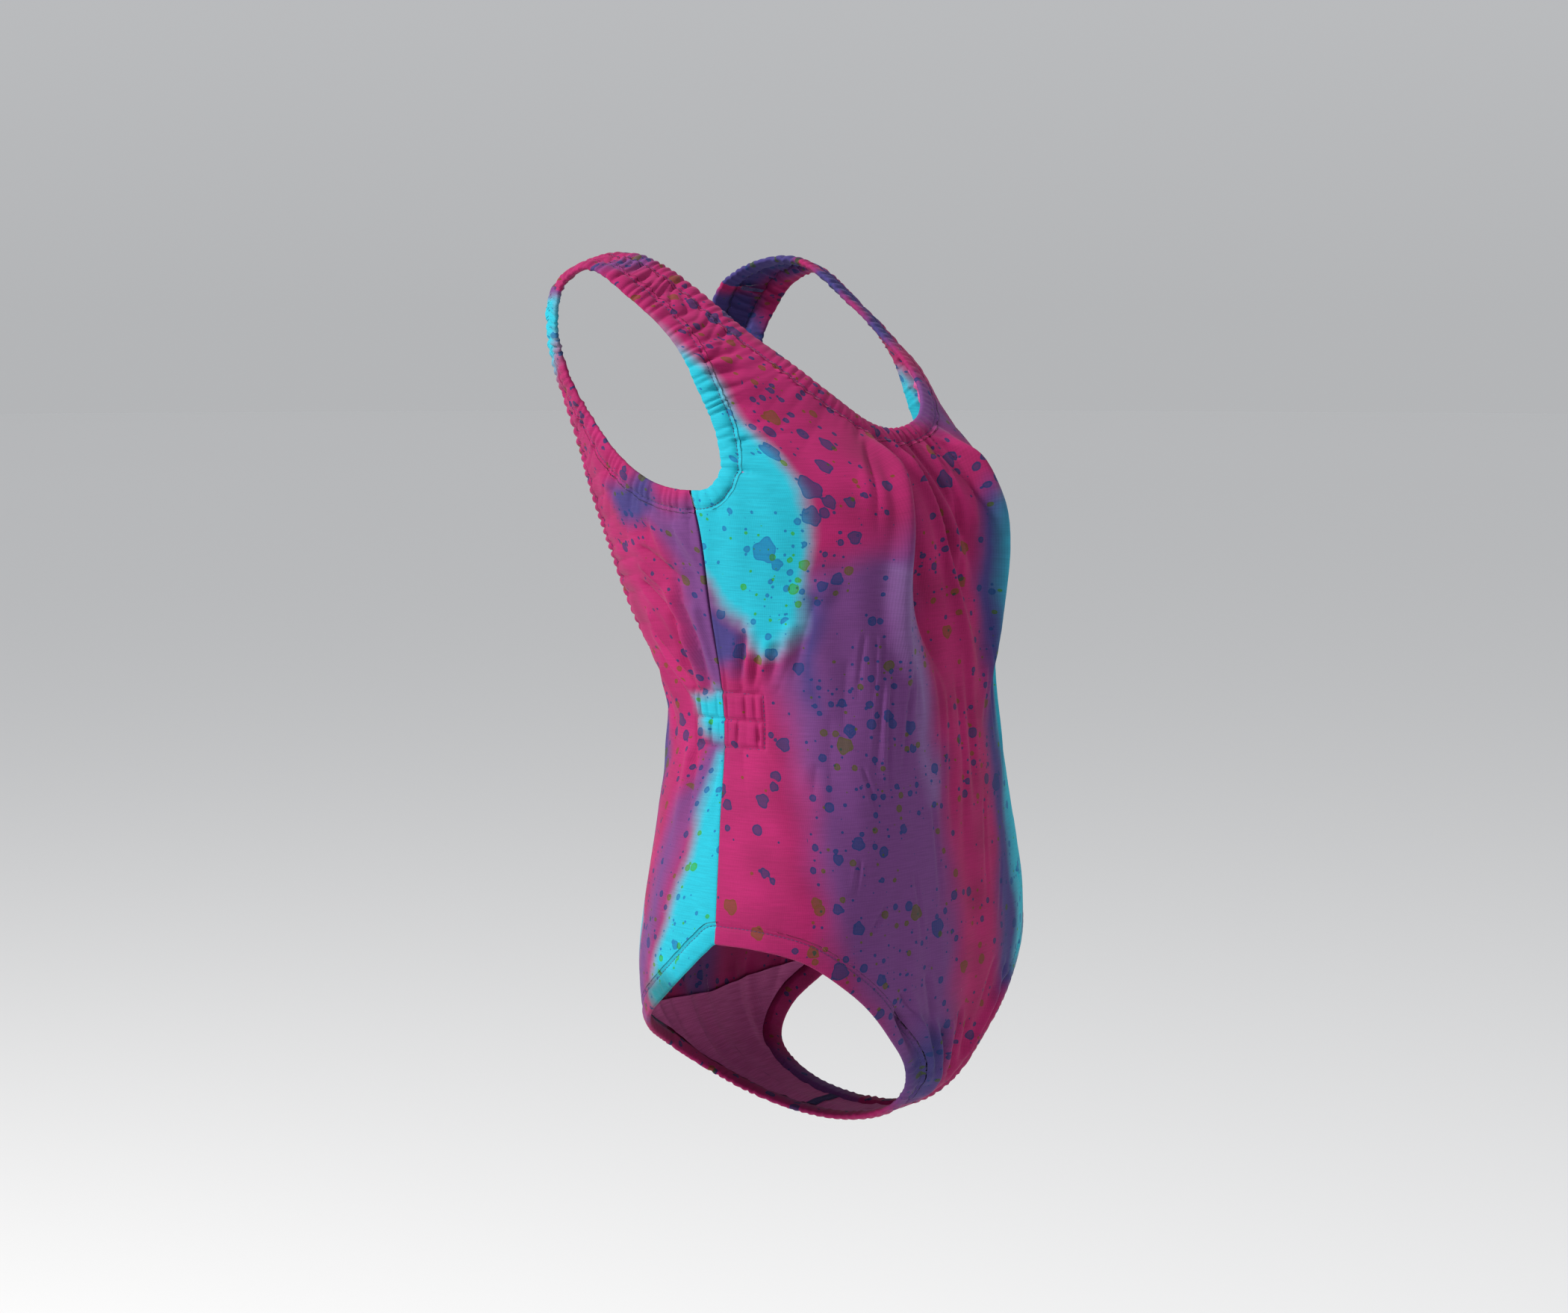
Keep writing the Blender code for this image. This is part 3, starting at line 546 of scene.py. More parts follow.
def waist_tab(seam_distance, level, side):
    """Give the puckers of the shirred tab, and the folds that run out of it."""
    centre = (TAB_BACK - TAB_FRONT) / 2
    half = (TAB_FRONT + TAB_BACK) / 2
    off = seam_distance - centre
    inside = 1 - smooth_step(np.abs(off), half - 0.001, half + 0.002)
    height = np.abs(level)
    channel = np.clip(height / CHANNEL, 0, 1)
    past = np.maximum(height - CHANNEL, 0)
    above = level > 0
    fan = off / (1 + past / TAB_FAN)
    shift = TAB_WANDER * swell(fan, level * 0.4 + side, 0.03, 0.06, 31)
    count = fan / TAB_PUCKER + shift / (2 * math.pi) + np.where(above, 0.0, TAB_OFFSET)
    valley = np.round(count)
    to_groove = (np.abs(count - valley) * TAB_PUCKER) / TAB_GROOVE_WIDTH
    depth = 0.55 + 0.45 * np.sin(2.4 * valley + np.where(above, 0.0, 2.0) + side)
    within = inside * (height < CHANNEL)
    bulge = np.sin(math.pi * channel) ** 0.5
    puckers = within * bulge * (TAB_PUFF - TAB_GROOVE * depth * np.exp(-to_groove))
    near = bell(fan, half * TAB_FOLD_WIDTH) * np.where(above, 1.0, TAB_FOLD_DOWN)
    reach = np.where(above, TAB_REACH_UP, TAB_REACH_DOWN)
    folds = TAB_FOLD * (pleat(2 * math.pi * fan / (TAB_FOLD_SPACING * TAB_PUCKER) + shift) - PLEAT_MIDDLE)
    folds = folds * near * np.exp(-past / reach) * smooth_step(past, 0, 0.003)
    dents = inside * (bell(height, TAB_DENT_WIDTH) + bell(height - CHANNEL, TAB_DENT_WIDTH))
    ends = bell(np.abs(off) - half, TAB_DENT_WIDTH) * (height < CHANNEL)
    return puckers + folds - TAB_DENT * np.maximum(dents, ends)


def lay_folds(across, run, folds):
    """Add up the listed folds and creases."""
    total = np.zeros(np.shape(across))
    for start_across, start_run, end_across, end_run, width_0, width_1, height, bend in folds / 1000:
        step_across, step_run = end_across - start_across, end_run - start_run
        length = math.hypot(step_across, step_run)
        reach = length / 2 + abs(bend) + 5 * max(width_0, width_1)
        off_middle = np.hypot(across - start_across - step_across / 2, run - start_run - step_run / 2)
        close = np.flatnonzero(off_middle < reach)
        x, y = across[close] - start_across, run[close] - start_run
        part = (x * step_across + y * step_run) / length**2
        inside = np.clip(part, 0, 1)
        sideways = (x * step_run - y * step_across) / length - bend * 4 * inside * (1 - inside)
        off = np.hypot(sideways, (part - inside) * length)
        width = width_0 + (width_1 - width_0) * inside
        fade = smooth_step(part, *FOLD_START) * (1 - smooth_step(part, *FOLD_END))
        if height > 0:
            shape = bell(off, width)
        else:
            lip = bell(off - CREASE_LIP_OFF * width, CREASE_LIP_WIDTH * width)
            shape = np.exp(-off / width) - CREASE_LIP * lip
        total[close] += height * shape * fade
    return total


def on_both_halves(folds, seed):
    """Repeat folds on the left half, a little changed."""
    table = np.array(folds, float)
    draw = np.random.default_rng(seed)
    off_centre = np.minimum(table[:, 0], table[:, 2]) > CENTRE_FOLD
    copy = table[off_centre] * (-1, 1, -1, 1, 1, 1, 1, -1)
    copy[:, [0, 2]] += draw.uniform(-MOVED_ACROSS, MOVED_ACROSS, (len(copy), 2))
    copy[:, [1, 3]] += draw.uniform(-MOVED_ALONG, MOVED_ALONG, (len(copy), 2))
    copy[:, 6] *= draw.uniform(*HEIGHT_CHANGE, len(copy))
    return np.vstack([table, copy])


ALL_FRONT_FOLDS = on_both_halves(FRONT_FOLDS, 61)
ALL_BACK_FOLDS = on_both_halves(BACK_FOLDS, 62)


def relief(turn, run, side, places):
    """Give how the gathered cloth differs from the smooth one: height, casing puff and inward pull."""
    around = girth(turn, run)
    across = around * side
    run = once_round(run)
    mirror = mirror_of(side)
    height, puff = np.zeros(len(turn)), np.zeros(len(turn))
    pull = np.zeros((len(turn), 3))
    distances = {}
    for name, edge in EDGES.items():
        distance, arc, inward = edge.nearest(places * mirror)
        distances[name] = distance
        added, puffed, pulled = gather(name, distance, arc * side, run)
        height += added
        puff += puffed
        pull += inward * mirror * pulled[:, None]
    nearest = np.minimum.reduce(list(distances.values()))
    height += strap_folds(across, run, distances)
    seam_distance, level = from_seam(turn, run, around)
    meets = smooth_step(np.abs(seam_distance), 0, SEAM_MEETS)
    puff *= meets
    pull *= meets[:, None]
    height += waist_tab(seam_distance, level, side) * (np.abs(level) < 0.15)
    height -= SEAM_DENT * bell(seam_distance, SEAM_DENT_WIDTH) * smooth_step(nearest, -0.004, HEM)
    front_folds, back_folds = (lay_folds(across, run, folds) for folds in (ALL_FRONT_FOLDS, ALL_BACK_FOLDS))
    laid = np.where(run < RIDGE, front_folds, back_folds)
    off_seam = smooth_step(np.abs(seam_distance), 0, 0.012)
    height += laid * off_seam * smooth_step(nearest, 0.004, HEM)
    past_hem = smooth_step(nearest, HEM, 2.2 * HEM)
    height += LOOSENESS * swell(across, run, 0.035, 0.12, 41) * off_seam * past_hem
    height = np.minimum(height, 0) + np.maximum(height, 0) * meets
    return height, puff, pull


def mirror_of(side):
    """Give the factors that move points of the right half to their side."""
    return np.stack([side, np.ones(len(side)), np.ones(len(side))], axis=1)


def put(turn, run, side, depth=0.0, past=0.0, past_way=None):
    """Place points on the gathered cloth, at a depth below it, or past its edge."""
    given = np.broadcast_arrays(*(np.asarray(value, float) for value in (turn, run, side, depth, past)))
    shape = given[0].shape
    turn, run, side, depth, past = (value.ravel() for value in given)
    mirror = mirror_of(side)
    places = cloth(turn, run) * mirror
    normal = outward(turn, run) * mirror
    height, puff, pull = relief(turn, run, side, places)
    lift = height + puff * np.clip(1 - depth / FOLD, -INNER_PUFF, 1) - depth
    moved = places + normal * lift[:, None] + pull
    if past_way is not None:
        moved += past_way.reshape(-1, 3) * mirror * past[:, None]
    return moved.reshape(*shape, 3)


# ---------------------------------------------------------------- the panels' grids

def join(*lines):
    """Join lines end to end, without their shared places."""
    return np.vstack([lines[0]] + [line[1:] for line in lines[1:]])


def casing_part(edge, start, end, rows):
    """Take part of an opening's casing, finely divided."""
    part = EDGES[edge].part(start, end, rows * FINENESS)
    part[:, [0, 2]] = np.minimum(part[:, [0, 2]], SEAM_TURN)
    return part


def line_between(start, end, rows):
    """Take evenly spaced places on a straight line between two places."""
    return np.linspace(start, end, rows * FINENESS + 1)


def front_pattern():
    """Lay out the right half of the front: the two sides of its rows, and its three casings."""
    top, bottom = SHOULDER_SEAM - SEAM_GAP, CROTCH_SEAM + SEAM_GAP
    neck = casing_part("neck", top, NECK_EDGE[0][1], STRAP_ROWS)
    arm = casing_part("arm", top, ARM_EDGE[0][1], STRAP_ROWS)
    leg = casing_part("leg", LEG_EDGE[0][1], bottom, LEG_ROWS)
    side = line_between(arm[-1, 2:], leg[0, 2:], RIB_ROWS + HIP_ROWS)
    hip_level = (0, leg[0, 3])
    centre = join(line_between(neck[-1, 2:], hip_level, RIB_ROWS + HIP_ROWS),
                  line_between(hip_level, (0, bottom), LEG_ROWS))
    return join(neck[:, 2:], centre), join(arm[:, 2:], side, leg[:, 2:]), [neck, arm, leg]


def back_pattern():
    """Lay out the right half of the back: the two sides of its rows, and its three casings."""
    top, bottom = SHOULDER_SEAM + SEAM_GAP, CROTCH_SEAM - SEAM_GAP
    neck = casing_part("neck", top, NECK_EDGE[-1][1], BACK_STRAP_ROWS + RIB_ROWS)
    arm = casing_part("arm", top, ARM_EDGE[-1][1], BACK_STRAP_ROWS)
    leg = casing_part("leg", LEG_EDGE[-1][1], bottom, LEG_ROWS)
    leg_line = leg[:, 2:] + (0, PERIOD)
    waist = (SEAM_TURN, 2 * RIDGE)
    side = join(line_between(arm[-1, 2:], waist, RIB_ROWS), line_between(waist, leg_line[0], HIP_ROWS))
    hip_level = (0, leg_line[0, 1])
    centre = join(line_between(neck[-1, 2:], hip_level, HIP_ROWS),
                  line_between(hip_level, (0, bottom + PERIOD), LEG_ROWS))
    return join(neck[:, 2:], centre), join(arm[:, 2:], side, leg_line), [neck, arm, leg]


def seam_rows(outer):
    """Find the rows whose outer end lies on the side seam."""
    return outer[:, 0] >= SEAM_TURN - 1e-6


def column_counts(inner, outer):
    """Choose how many columns each row has: more where the cloth is wider."""
    widths = np.linalg.norm(cloth(*outer.T) - cloth(*inner.T), axis=1)
    counts = [next(count for limit, count in COLUMNS_BY_WIDTH if width < limit) for width in widths]
    for order in (range(1, len(counts)), range(len(counts) - 2, -1, -1)):
        for row in order:
            neighbour = counts[row - 1] if order.step > 0 else counts[row + 1]
            counts[row] = min(counts[row], 2 * neighbour)
    return counts


def casing_route():
    """List a casing's cross-section: the distance inside the edge, the depth, and the reach past the edge."""
    outside = (0.015, 0.0137, 0.0127, 0.012, 0.0113, 0.010, 0.008, 0.006, 0.004, 0.002, 0.0007)
    bends = [math.radians(angle) for angle in (25, 60, 90, 120, 155)]
    inside = (0.0007, 0.003, 0.006, 0.0092)
    sewn_down = ((0.0108, 1.75), (0.0122, 0.9), (0.0138, 0.5))
    route = [(from_edge, 0, 0) for from_edge in outside]
    route += [(0, FOLD * (1 - math.cos(bend)), FOLD * math.sin(bend)) for bend in bends]
    route += [(from_edge, 2 * FOLD, 0) for from_edge in inside]
    return route + [(from_edge, share * FOLD, 0) for from_edge, share in sewn_down]


class Skin:
    """Points of a sheet of cloth by turn, run, side and depth, with the faces between them."""

    def __init__(self):
        self.turn, self.run, self.side, self.depth, self.past, self.way = [], [], [], [], [], []
        self.faces = []
        self.count = 0

    def add_points(self, turn, run, side, depth=None, past=None, way=None):
        """Add points and give the number of the first."""
        first = self.count
        size = np.size(turn)
        self.turn.append(np.ravel(turn))
        self.run.append(np.ravel(run))
        self.side.append(np.full(size, float(side)))
        self.depth.append(np.zeros(size) if depth is None else np.ravel(depth))
        self.past.append(np.zeros(size) if past is None else np.ravel(past))
        self.way.append(np.zeros((size, 3)) if way is None else np.reshape(way, (-1, 3)))
        self.count += size
        return first

    def add_face(self, corners, side):
        """Add a face whose front is the cloth's outside."""
        self.faces.append(corners if side < 0 else corners[::-1])

    def add_panel(self, inner, outer, side):
        """Fill the cloth between the two sides of its rows."""
        counts = column_counts(inner, outer)
        before, before_count = None, 0
        for low, high, count in zip(inner, outer, counts):
            share = np.linspace(0, 1, count + 1)
            share = share * (1 + SEAM_CROWDING) - SEAM_CROWDING * share**2
            turn, run = (low[k] + (high[k] - low[k]) * share for k in (0, 1))
            start = self.add_points(turn, run, side)
            if before is not None:
                self.join_rows(before, before_count, start, count, side)
            before, before_count = start, count

    def join_rows(self, upper, upper_count, lower, lower_count, side):
        """Make the faces between two rows, of which one may have twice as many columns."""
        if upper_count == lower_count:
            for k in range(upper_count):
                self.add_face((upper + k, upper + k + 1, lower + k + 1, lower + k), side)
        elif lower_count == 2 * upper_count:
            for k in range(upper_count):
                middle = lower + 2 * k + 1
                self.add_face((upper + k, middle, middle - 1), side)
                self.add_face((upper + k, upper + k + 1, middle), side)
                self.add_face((upper + k + 1, middle + 1, middle), side)
        else:
            for k in range(lower_count):
                middle = upper + 2 * k + 1
                self.add_face((lower + k, middle - 1, middle), side)
                self.add_face((lower + k, middle, lower + k + 1), side)
                self.add_face((lower + k + 1, middle, middle + 1), side)

    def add_lip(self, line, side):
        """Turn the cloth's edge in along the side seam."""
        to_seam = 1 - SEAM_TURN
        turn = line[:, 0:1] + np.array([0.0, to_seam, to_seam])
        run, depth = np.broadcast_arrays(line[:, 1:2], np.array([0.0, 0.0009, SEAM_LIP]))
        first = self.add_points(turn, run, side, depth)
        self.add_grid(first, turn.shape, side, False)

    def add_casing(self, part, side, flip):
        """Add the band along an opening, round the fold at its edge and back inside it."""
        from_edge, depth, past = np.array(casing_route()).T
        share = (from_edge / CASING)[None, :]
        turn = part[:, 0:1] * (1 - share) + part[:, 2:3] * share
        run = part[:, 1:2] * (1 - share) + part[:, 3:4] * share
        way = unit(cloth(part[:, 0], part[:, 1]) - cloth(part[:, 2], part[:, 3]) + 1e-12)
        size = turn.shape
        first = self.add_points(turn, run, side, np.broadcast_to(depth, size), np.broadcast_to(past, size),
                                np.broadcast_to(way[:, None], (*size, 3)))
        self.add_grid(first, size, side, not flip)

    def add_grid(self, first, size, side, reverse):
        """Add the faces of a grid of points."""
        rows, columns = size
        for row in range(rows - 1):
            for column in range(columns - 1):
                at = first + row * columns + column
                corners = (at, at + 1, at + columns + 1, at + columns)
                self.add_face(corners[::-1] if reverse else corners, side)

    def arrays(self):
        """Give the points' turn, run, side, depth, reach past the edge and its direction."""
        parts = (self.turn, self.run, self.side, self.depth, self.past, self.way)
        return [np.concatenate(part) for part in parts]


# ---------------------------------------------------------------- dye

MAGENTA = (0.270, 0.0075, 0.082)
PURPLE = (0.120, 0.034, 0.150)
GREY_PURPLE = (0.160, 0.085, 0.225)
TURQUOISE = (0.008, 0.33, 0.43)
# turquoise darkened as painted shade, for the lower back where it lies in shade
TURQUOISE_IN_PAINTED_SHADE = (0.006, 0.155, 0.185)
INDIGO = (0.038, 0.028, 0.135)
# how much the magenta varies, and the least of any colour in it
DYE_CLOUDS = 0.10
DARKEST = 0.002

# patches of dye, one of them turquoise darkened as painted shade, in millimetres: colour, softness of the
# edge, then the corners as across and run
FRONT_PATCHES = (
    (PURPLE, 16, (135, 108), (110, 120), (85, 127), (60, 142), (45, 168), (38, 150), (42, 100),
     (24, -24), (8, -196), (0, -310), (60, -310), (95, -214), (132, -170), (143, -98), (142, -58),
     (145, -18), (158, 26)),
    (GREY_PURPLE, 9, (60, 120), (76, 110), (66, 60), (48, 20), (40, -60), (30, -60), (34, 40), (48, 90)),
    (INDIGO, 8, (122, 96), (134, 96), (139, 60), (136, 20), (126, 10), (128, 50)),
    (TURQUOISE, 8, (158, 340), (150, 300), (148, 262), (140, 212), (141, 184), (136, 168), (138, 138),
     (133, 102), (142, 70), (158, 48), (168, 48), (180, 66), (206, 88), (224, 104), (262, 128),
     (272, 170), (230, 190), (200, 230), (185, 290), (175, 345)),
    (INDIGO, 6, (180, 62), (202, 82), (228, 98), (260, 104), (260, 60), (228, 42), (205, 36), (184, 40)),
    (PURPLE, 8, (92, 400), (150, 400), (160, 392), (150, 388), (110, 376), (92, 384)),
    (INDIGO, 12, (20, -230), (52, -222), (50, -262), (26, -300), (10, -300), (12, -250)),
    (INDIGO, 9, (-45, 128), (-40, 90), (-42, 50), (-52, -76), (-52, -220), (-95, -230), (-98, 0),
     (-90, 140), (-60, 167)),
    (TURQUOISE, 10, (-76, 178), (-66, 120), (-64, 50), (-80, -76), (-92, -208), (-112, -206),
     (-138, -120), (-116, -50), (-138, 20), (-118, 90), (-128, 150), (-100, 186)),
    (PURPLE, 11, (-18, 236), (-30, 215), (-50, 205), (-75, 190), (-80, 240), (-60, 262), (-25, 262)),
    (TURQUOISE, 9, (-150, 250), (-136, 196), (-160, 150), (-205, 140), (-262, 128), (-275, 176),
     (-230, 195), (-190, 240)),
    (PURPLE, 16, (-140, 118), (-176, 96), (-214, 60), (-200, -70), (-170, -170), (-150, -170),
     (-162, -20), (-150, 60)),
    (INDIGO, 8, (-170, 90), (-230, 84), (-262, 70), (-236, 24), (-200, 40), (-176, 56)),
    (INDIGO, 9, (-70, 500), (-66, 380), (-58, 290), (-78, 276), (-104, 284), (-130, 330), (-140, 420),
     (-135, 500)),
    (PURPLE, 8, (-16, 286), (-32, 288), (-40, 270), (-26, 262)),
    (MAGENTA, 6, (-84, 330), (-94, 330), (-98, 312), (-88, 306)),
    (MAGENTA, 6, (-96, 400), (-112, 396), (-108, 366), (-96, 372)),
)
BACK_PATCHES = (
    (PURPLE, 8, (90, 440), (155, 440), (160, 500), (118, 504), (92, 500)),
    (TURQUOISE, 9, (96, 512), (158, 500), (160, 540), (138, 575), (112, 590), (100, 560)),
    (INDIGO, 8, (206, 664), (212, 690), (180, 702), (158, 696), (156, 676), (176, 668)),
    (PURPLE, 10, (250, 676), (250, 760), (222, 826), (204, 842), (184, 836), (176, 804), (190, 770),
     (204, 730), (196, 690)),
    (PURPLE, 9, (176, 838), (196, 838), (196, 900), (176, 920), (168, 880)),
    (TURQUOISE, 6, (158, 828), (182, 818), (204, 828), (206, 846), (186, 852), (162, 846)),
    (PURPLE, 12, (176, 866), (178, 946), (176, 990), (160, 1040), (140, 1080), (110, 1060), (150, 990),
     (160, 900)),
    (TURQUOISE, 8, (186, 864), (190, 946), (188, 990), (174, 1034), (200, 1052), (265, 1015), (265, 940),
     (217, 888), (204, 852)),
    # a patch of turquoise darkened as painted shade
    (TURQUOISE_IN_PAINTED_SHADE, 7, (164, 1046), (184, 1030), (206, 1030), (200, 1060), (170, 1066)),
    (INDIGO, 10, (60, 850), (104, 840), (122, 880), (104, 960), (76, 980), (58, 920)),
    (PURPLE, 14, (-6, 852), (44, 850), (52, 930), (40, 1040), (26, 1120), (-12, 1120), (-8, 980)),
    (TURQUOISE, 10, (84, 990), (116, 968), (134, 1000), (112, 1060), (76, 1090), (66, 1040)),
    (TURQUOISE, 10, (-40, 880), (-84, 852), (-110, 880), (-120, 960), (-92, 1040), (-56, 1000),
     (-50, 930)),
    (INDIGO, 9, (-130, 836), (-160, 850), (-172, 900), (-160, 980), (-136, 1040), (-128, 950)),
    (PURPLE, 12, (-176, 866), (-196, 960), (-190, 1030), (-240, 1000), (-244, 920), (-210, 866)),
    (INDIGO, 8, (-206, 664), (-222, 690), (-190, 712), (-160, 700), (-166, 676)),
    (PURPLE, 10, (-224, 700), (-210, 760), (-170, 800), (-146, 806), (-140, 780), (-180, 750),
     (-200, 706)),
    (TURQUOISE, 8, (-186, 812), (-226, 770), (-242, 790), (-214, 840), (-190, 842)),
    (INDIGO, 9, (-92, 500), (-140, 504), (-160, 560), (-150, 612), (-116, 600), (-100, 560)),
    (PURPLE, 12, (20, 1130), (-30, 1120), (-44, 1180), (-20, 1220), (16, 1212)),
)

# large drops, in millimetres: across, run, radius
BLUE_DROPS = (
    (170, 125, 9), (160, 115, 4.5), (140, 195, 6), (130, 170, 8), (135, 150, 7), (120, 160, 5),
    (105, 160, 4), (110, 185, 5), (95, 200, 4.5), (105, 135, 5), (125, 100, 4), (115, 105, 4.5),
    (-25, 170, 6), (-40, 185, 4.5), (185, 50, 6), (160, 50, 4.5), (140, 40, 4.5), (155, -15, 5),
    (105, -5, 4.5), (75, 5, 4.5), (55, -5, 5), (108, -85, 5), (130, -175, 6.5), (35, -155, 7),
    (115, -145, 5), (95, -185, 4.5), (100, 290, 4.5), (105, 305, 5), (110, 320, 4.5), (140, 845, 5),
    (165, 860, 4.5), (-75, 60, 6), (-100, 20, 5), (-60, -60, 7), (-120, 130, 6), (-170, 60, 7),
    (-190, -80, 6), (60, 900, 7), (20, 960, 6), (-60, 900, 7), (-20, 1020, 6), (110, 930, 5),
    (-150, 760, 6), (-200, 820, 6), (90, 1040, 6), (210, -50, 5), (205, -60, 4), (175, -55, 5),
    (165, -45, 3.5), (180, -105, 3.5), (175, -110, 2.5), (130, -130, 4), (125, -95, 4),
)
YELLOW_DROPS = (
    (120, 220, 5.5), (140, 115, 4), (110, -15, 6), (60, -140, 6), (210, -130, 5.5), (190, -147, 5),
    (150, -160, 4.5), (145, -125, 4), (170, 45, 3.5), (105, 350, 5), (120, 330, 4), (95, 375, 4),
    (110, 395, 4.5), (-30, 120, 5), (-90, 90, 6), (-140, -60, 5), (30, 880, 6), (-90, 940, 6),
    (120, 880, 4), (-180, 740, 5), (-60, 340, 5), (0, 60, 5), (0, -190, 5),
)

# the distance given to a place that is near no drop
FAR_OUTSIDE = -0.05

# places with few small drops, in millimetres: across, run, reach across, reach along the run
SPARSE = ((185, -110, 42, 95), (-185, -110, 42, 95), (200, 25, 20, 25))
SPARSE_SHARE = 0.85


def patch_distance(x, y, corners):
    """Give the distance inside a patch's outline, negative outside."""
    corners = np.array(corners, float)
    inside = np.zeros(len(x), bool)
    nearest = np.full(len(x), np.inf)
    for (x0, y0), (x1, y1) in zip(corners, np.roll(corners, -1, axis=0)):
        step_x, step_y = x1 - x0, y1 - y0
        part = np.clip(((x - x0) * step_x + (y - y0) * step_y) / (step_x**2 + step_y**2), 0, 1)
        nearest = np.minimum(nearest, np.hypot(x - x0 - part * step_x, y - y0 - part * step_y))
        crosses = (y0 > y) != (y1 > y)
        inside ^= crosses & (x < x0 + (y - y0) * step_x / (step_y if step_y else 1e-9))
    return np.where(inside, nearest, -nearest)


def dye_and_painted_shade(across, run):
    """Give the ground colour of the cloth, before its drops: its dye, and one patch of painted shade."""
    large_x, small_x = swell(across, run, 0.05, 0.05, 51), swell(across, run, 0.009, 0.013, 52)
    large_y, small_y = swell(across, run, 0.05, 0.05, 53), swell(across, run, 0.013, 0.009, 54)
    x = across * 1000 + 3 * large_x + 0.5 * small_x
    y = run * 1000 + 3.5 * large_y + 0.5 * small_y
    colour = np.tile(np.array(MAGENTA), (len(across), 1))
    colour *= 1 + DYE_CLOUDS * swell(across, run, 0.04, 0.05, 55)[:, None]
    for patches, here in ((FRONT_PATCHES, run < SHOULDER_SEAM), (BACK_PATCHES, run >= SHOULDER_SEAM)):
        for patch, softness, *corners in patches:
            inside = patch_distance(x[here], y[here], corners)
            share = smooth_step(inside, -1.25 * softness, 1.25 * softness)[:, None]
            colour[here] = colour[here] * (1 - share) + np.array(patch) * share
    return np.clip(colour, DARKEST, 1)


def drop_distance(across, run, drops):
    """Give the distance inside the nearest large drop, negative outside."""
    best = np.full(len(across), FAR_OUTSIDE)
    for drop_across, drop_run, radius in np.array(drops).reshape(-1, 3) / 1000:
        off = np.hypot(across - drop_across, run - drop_run)
        angle = np.arctan2(run - drop_run, across - drop_across)
        lobes = 0.10 * np.sin(3 * angle + drop_across * 900) + 0.07 * np.sin(5 * angle + drop_run * 700)
        best = np.maximum(best, radius * (1 + lobes) - off)
    return best


def crowding(across, run):
    """Give how closely the small drops lie."""
    amount = np.ones(len(across))
    for middle, level, reach_across, reach_run in np.array(SPARSE) / 1000:
        off = np.hypot((across - middle) / reach_across, (run - level) / reach_run)
        amount *= 1 - SPARSE_SHARE * (1 - smooth_step(off, 0.75, 1.15))
    return amount


# ---------------------------------------------------------------- making meshes

def new_mesh(name, points, faces, finish, smooth_faces=True):
    """Make a mesh piece that rides on the garment."""
    mesh = bpy.data.meshes.new(name)
    mesh.from_pydata(np.asarray(points).tolist(), [], faces)
    mesh.validate()
    if smooth_faces:
        mesh.polygons.foreach_set("use_smooth", [True] * len(mesh.polygons))
    piece = bpy.data.objects.new(name, mesh)
    bpy.context.scene.collection.objects.link(piece)
    mesh.materials.append(finish)
    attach(piece, "root")
    return piece


def add_attribute(mesh, name, kind, values):
    """Store values on a mesh's points, for its material."""
    layer = mesh.attributes.new(name, kind, "POINT")
    field = {"FLOAT": "value", "FLOAT_VECTOR": "vector", "FLOAT_COLOR": "color"}[kind]
    layer.data.foreach_set(field, np.ascontiguousarray(values, dtype=np.float32).ravel())


def merged_middle(points, faces, tolerance=1e-5):
    """Weld points that meet, such as those of the two halves on the centre line."""
    keys = np.round(points / tolerance).astype(np.int64)
    _, first, index = np.unique(keys, axis=0, return_index=True, return_inverse=True)
    index = first[index.ravel()]
    kept, renumber = np.unique(index, return_inverse=True)
    welded = []
    for face in faces:
        corners = []
        for corner in face:
            number = int(renumber[corner])
            if number not in corners:
                corners.append(number)
        if len(corners) > 2:
            welded.append(tuple(corners))
    return kept, welded


def dyed_piece(name, skin, finish):
    """Make a gathered panel with its dye and its patch of painted shade."""
    turn, run, side, depth, past, way = skin.arrays()
    points = put(turn, run, side, depth, past, way)
    kept, faces = merged_middle(points, skin.faces)
    turn, run, side, points = turn[kept], run[kept], side[kept], points[kept]
    across = girth(turn, run) * side
    around = once_round(run)
    piece = new_mesh(name, points, faces, finish)
    store_dye(piece.data, across, around)
    return piece


def store_dye(mesh, across, run):
    """Store the dye, with its patch of painted shade, and the flat place of each point."""
    colour = dye_and_painted_shade(across, run)
    add_attribute(mesh, "dye_and_painted_shade", "FLOAT_COLOR", np.concatenate([colour, np.ones((len(colour), 1))], axis=1))
    add_attribute(mesh, "flat", "FLOAT_VECTOR", np.stack([across, run, np.zeros(len(run))], axis=1))
    add_attribute(mesh, "crowding", "FLOAT", crowding(across, run))
    add_attribute(mesh, "blue_drop", "FLOAT", drop_distance(across, run, BLUE_DROPS))
    add_attribute(mesh, "yellow_drop", "FLOAT", drop_distance(across, run, YELLOW_DROPS))


def make_skins(finish):
    """Make the front and the back."""
    for name, pattern, node, flips in (("front_skin", front_pattern(), "front_panel", (True, False, False)),
                                       ("back_skin", back_pattern(), "back_panel", (True, False, False))):
        inner, outer, casings = pattern
        skin = Skin()
        for side in (1, -1):
            skin.add_panel(inner, outer, side)
            skin.add_lip(outer[seam_rows(outer)], side)
            for part, flip in zip(casings, flips):
                skin.add_casing(part, side, flip)
        piece = dyed_piece(name, skin, finish)
        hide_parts(node)


# ---------------------------------------------------------------- materials

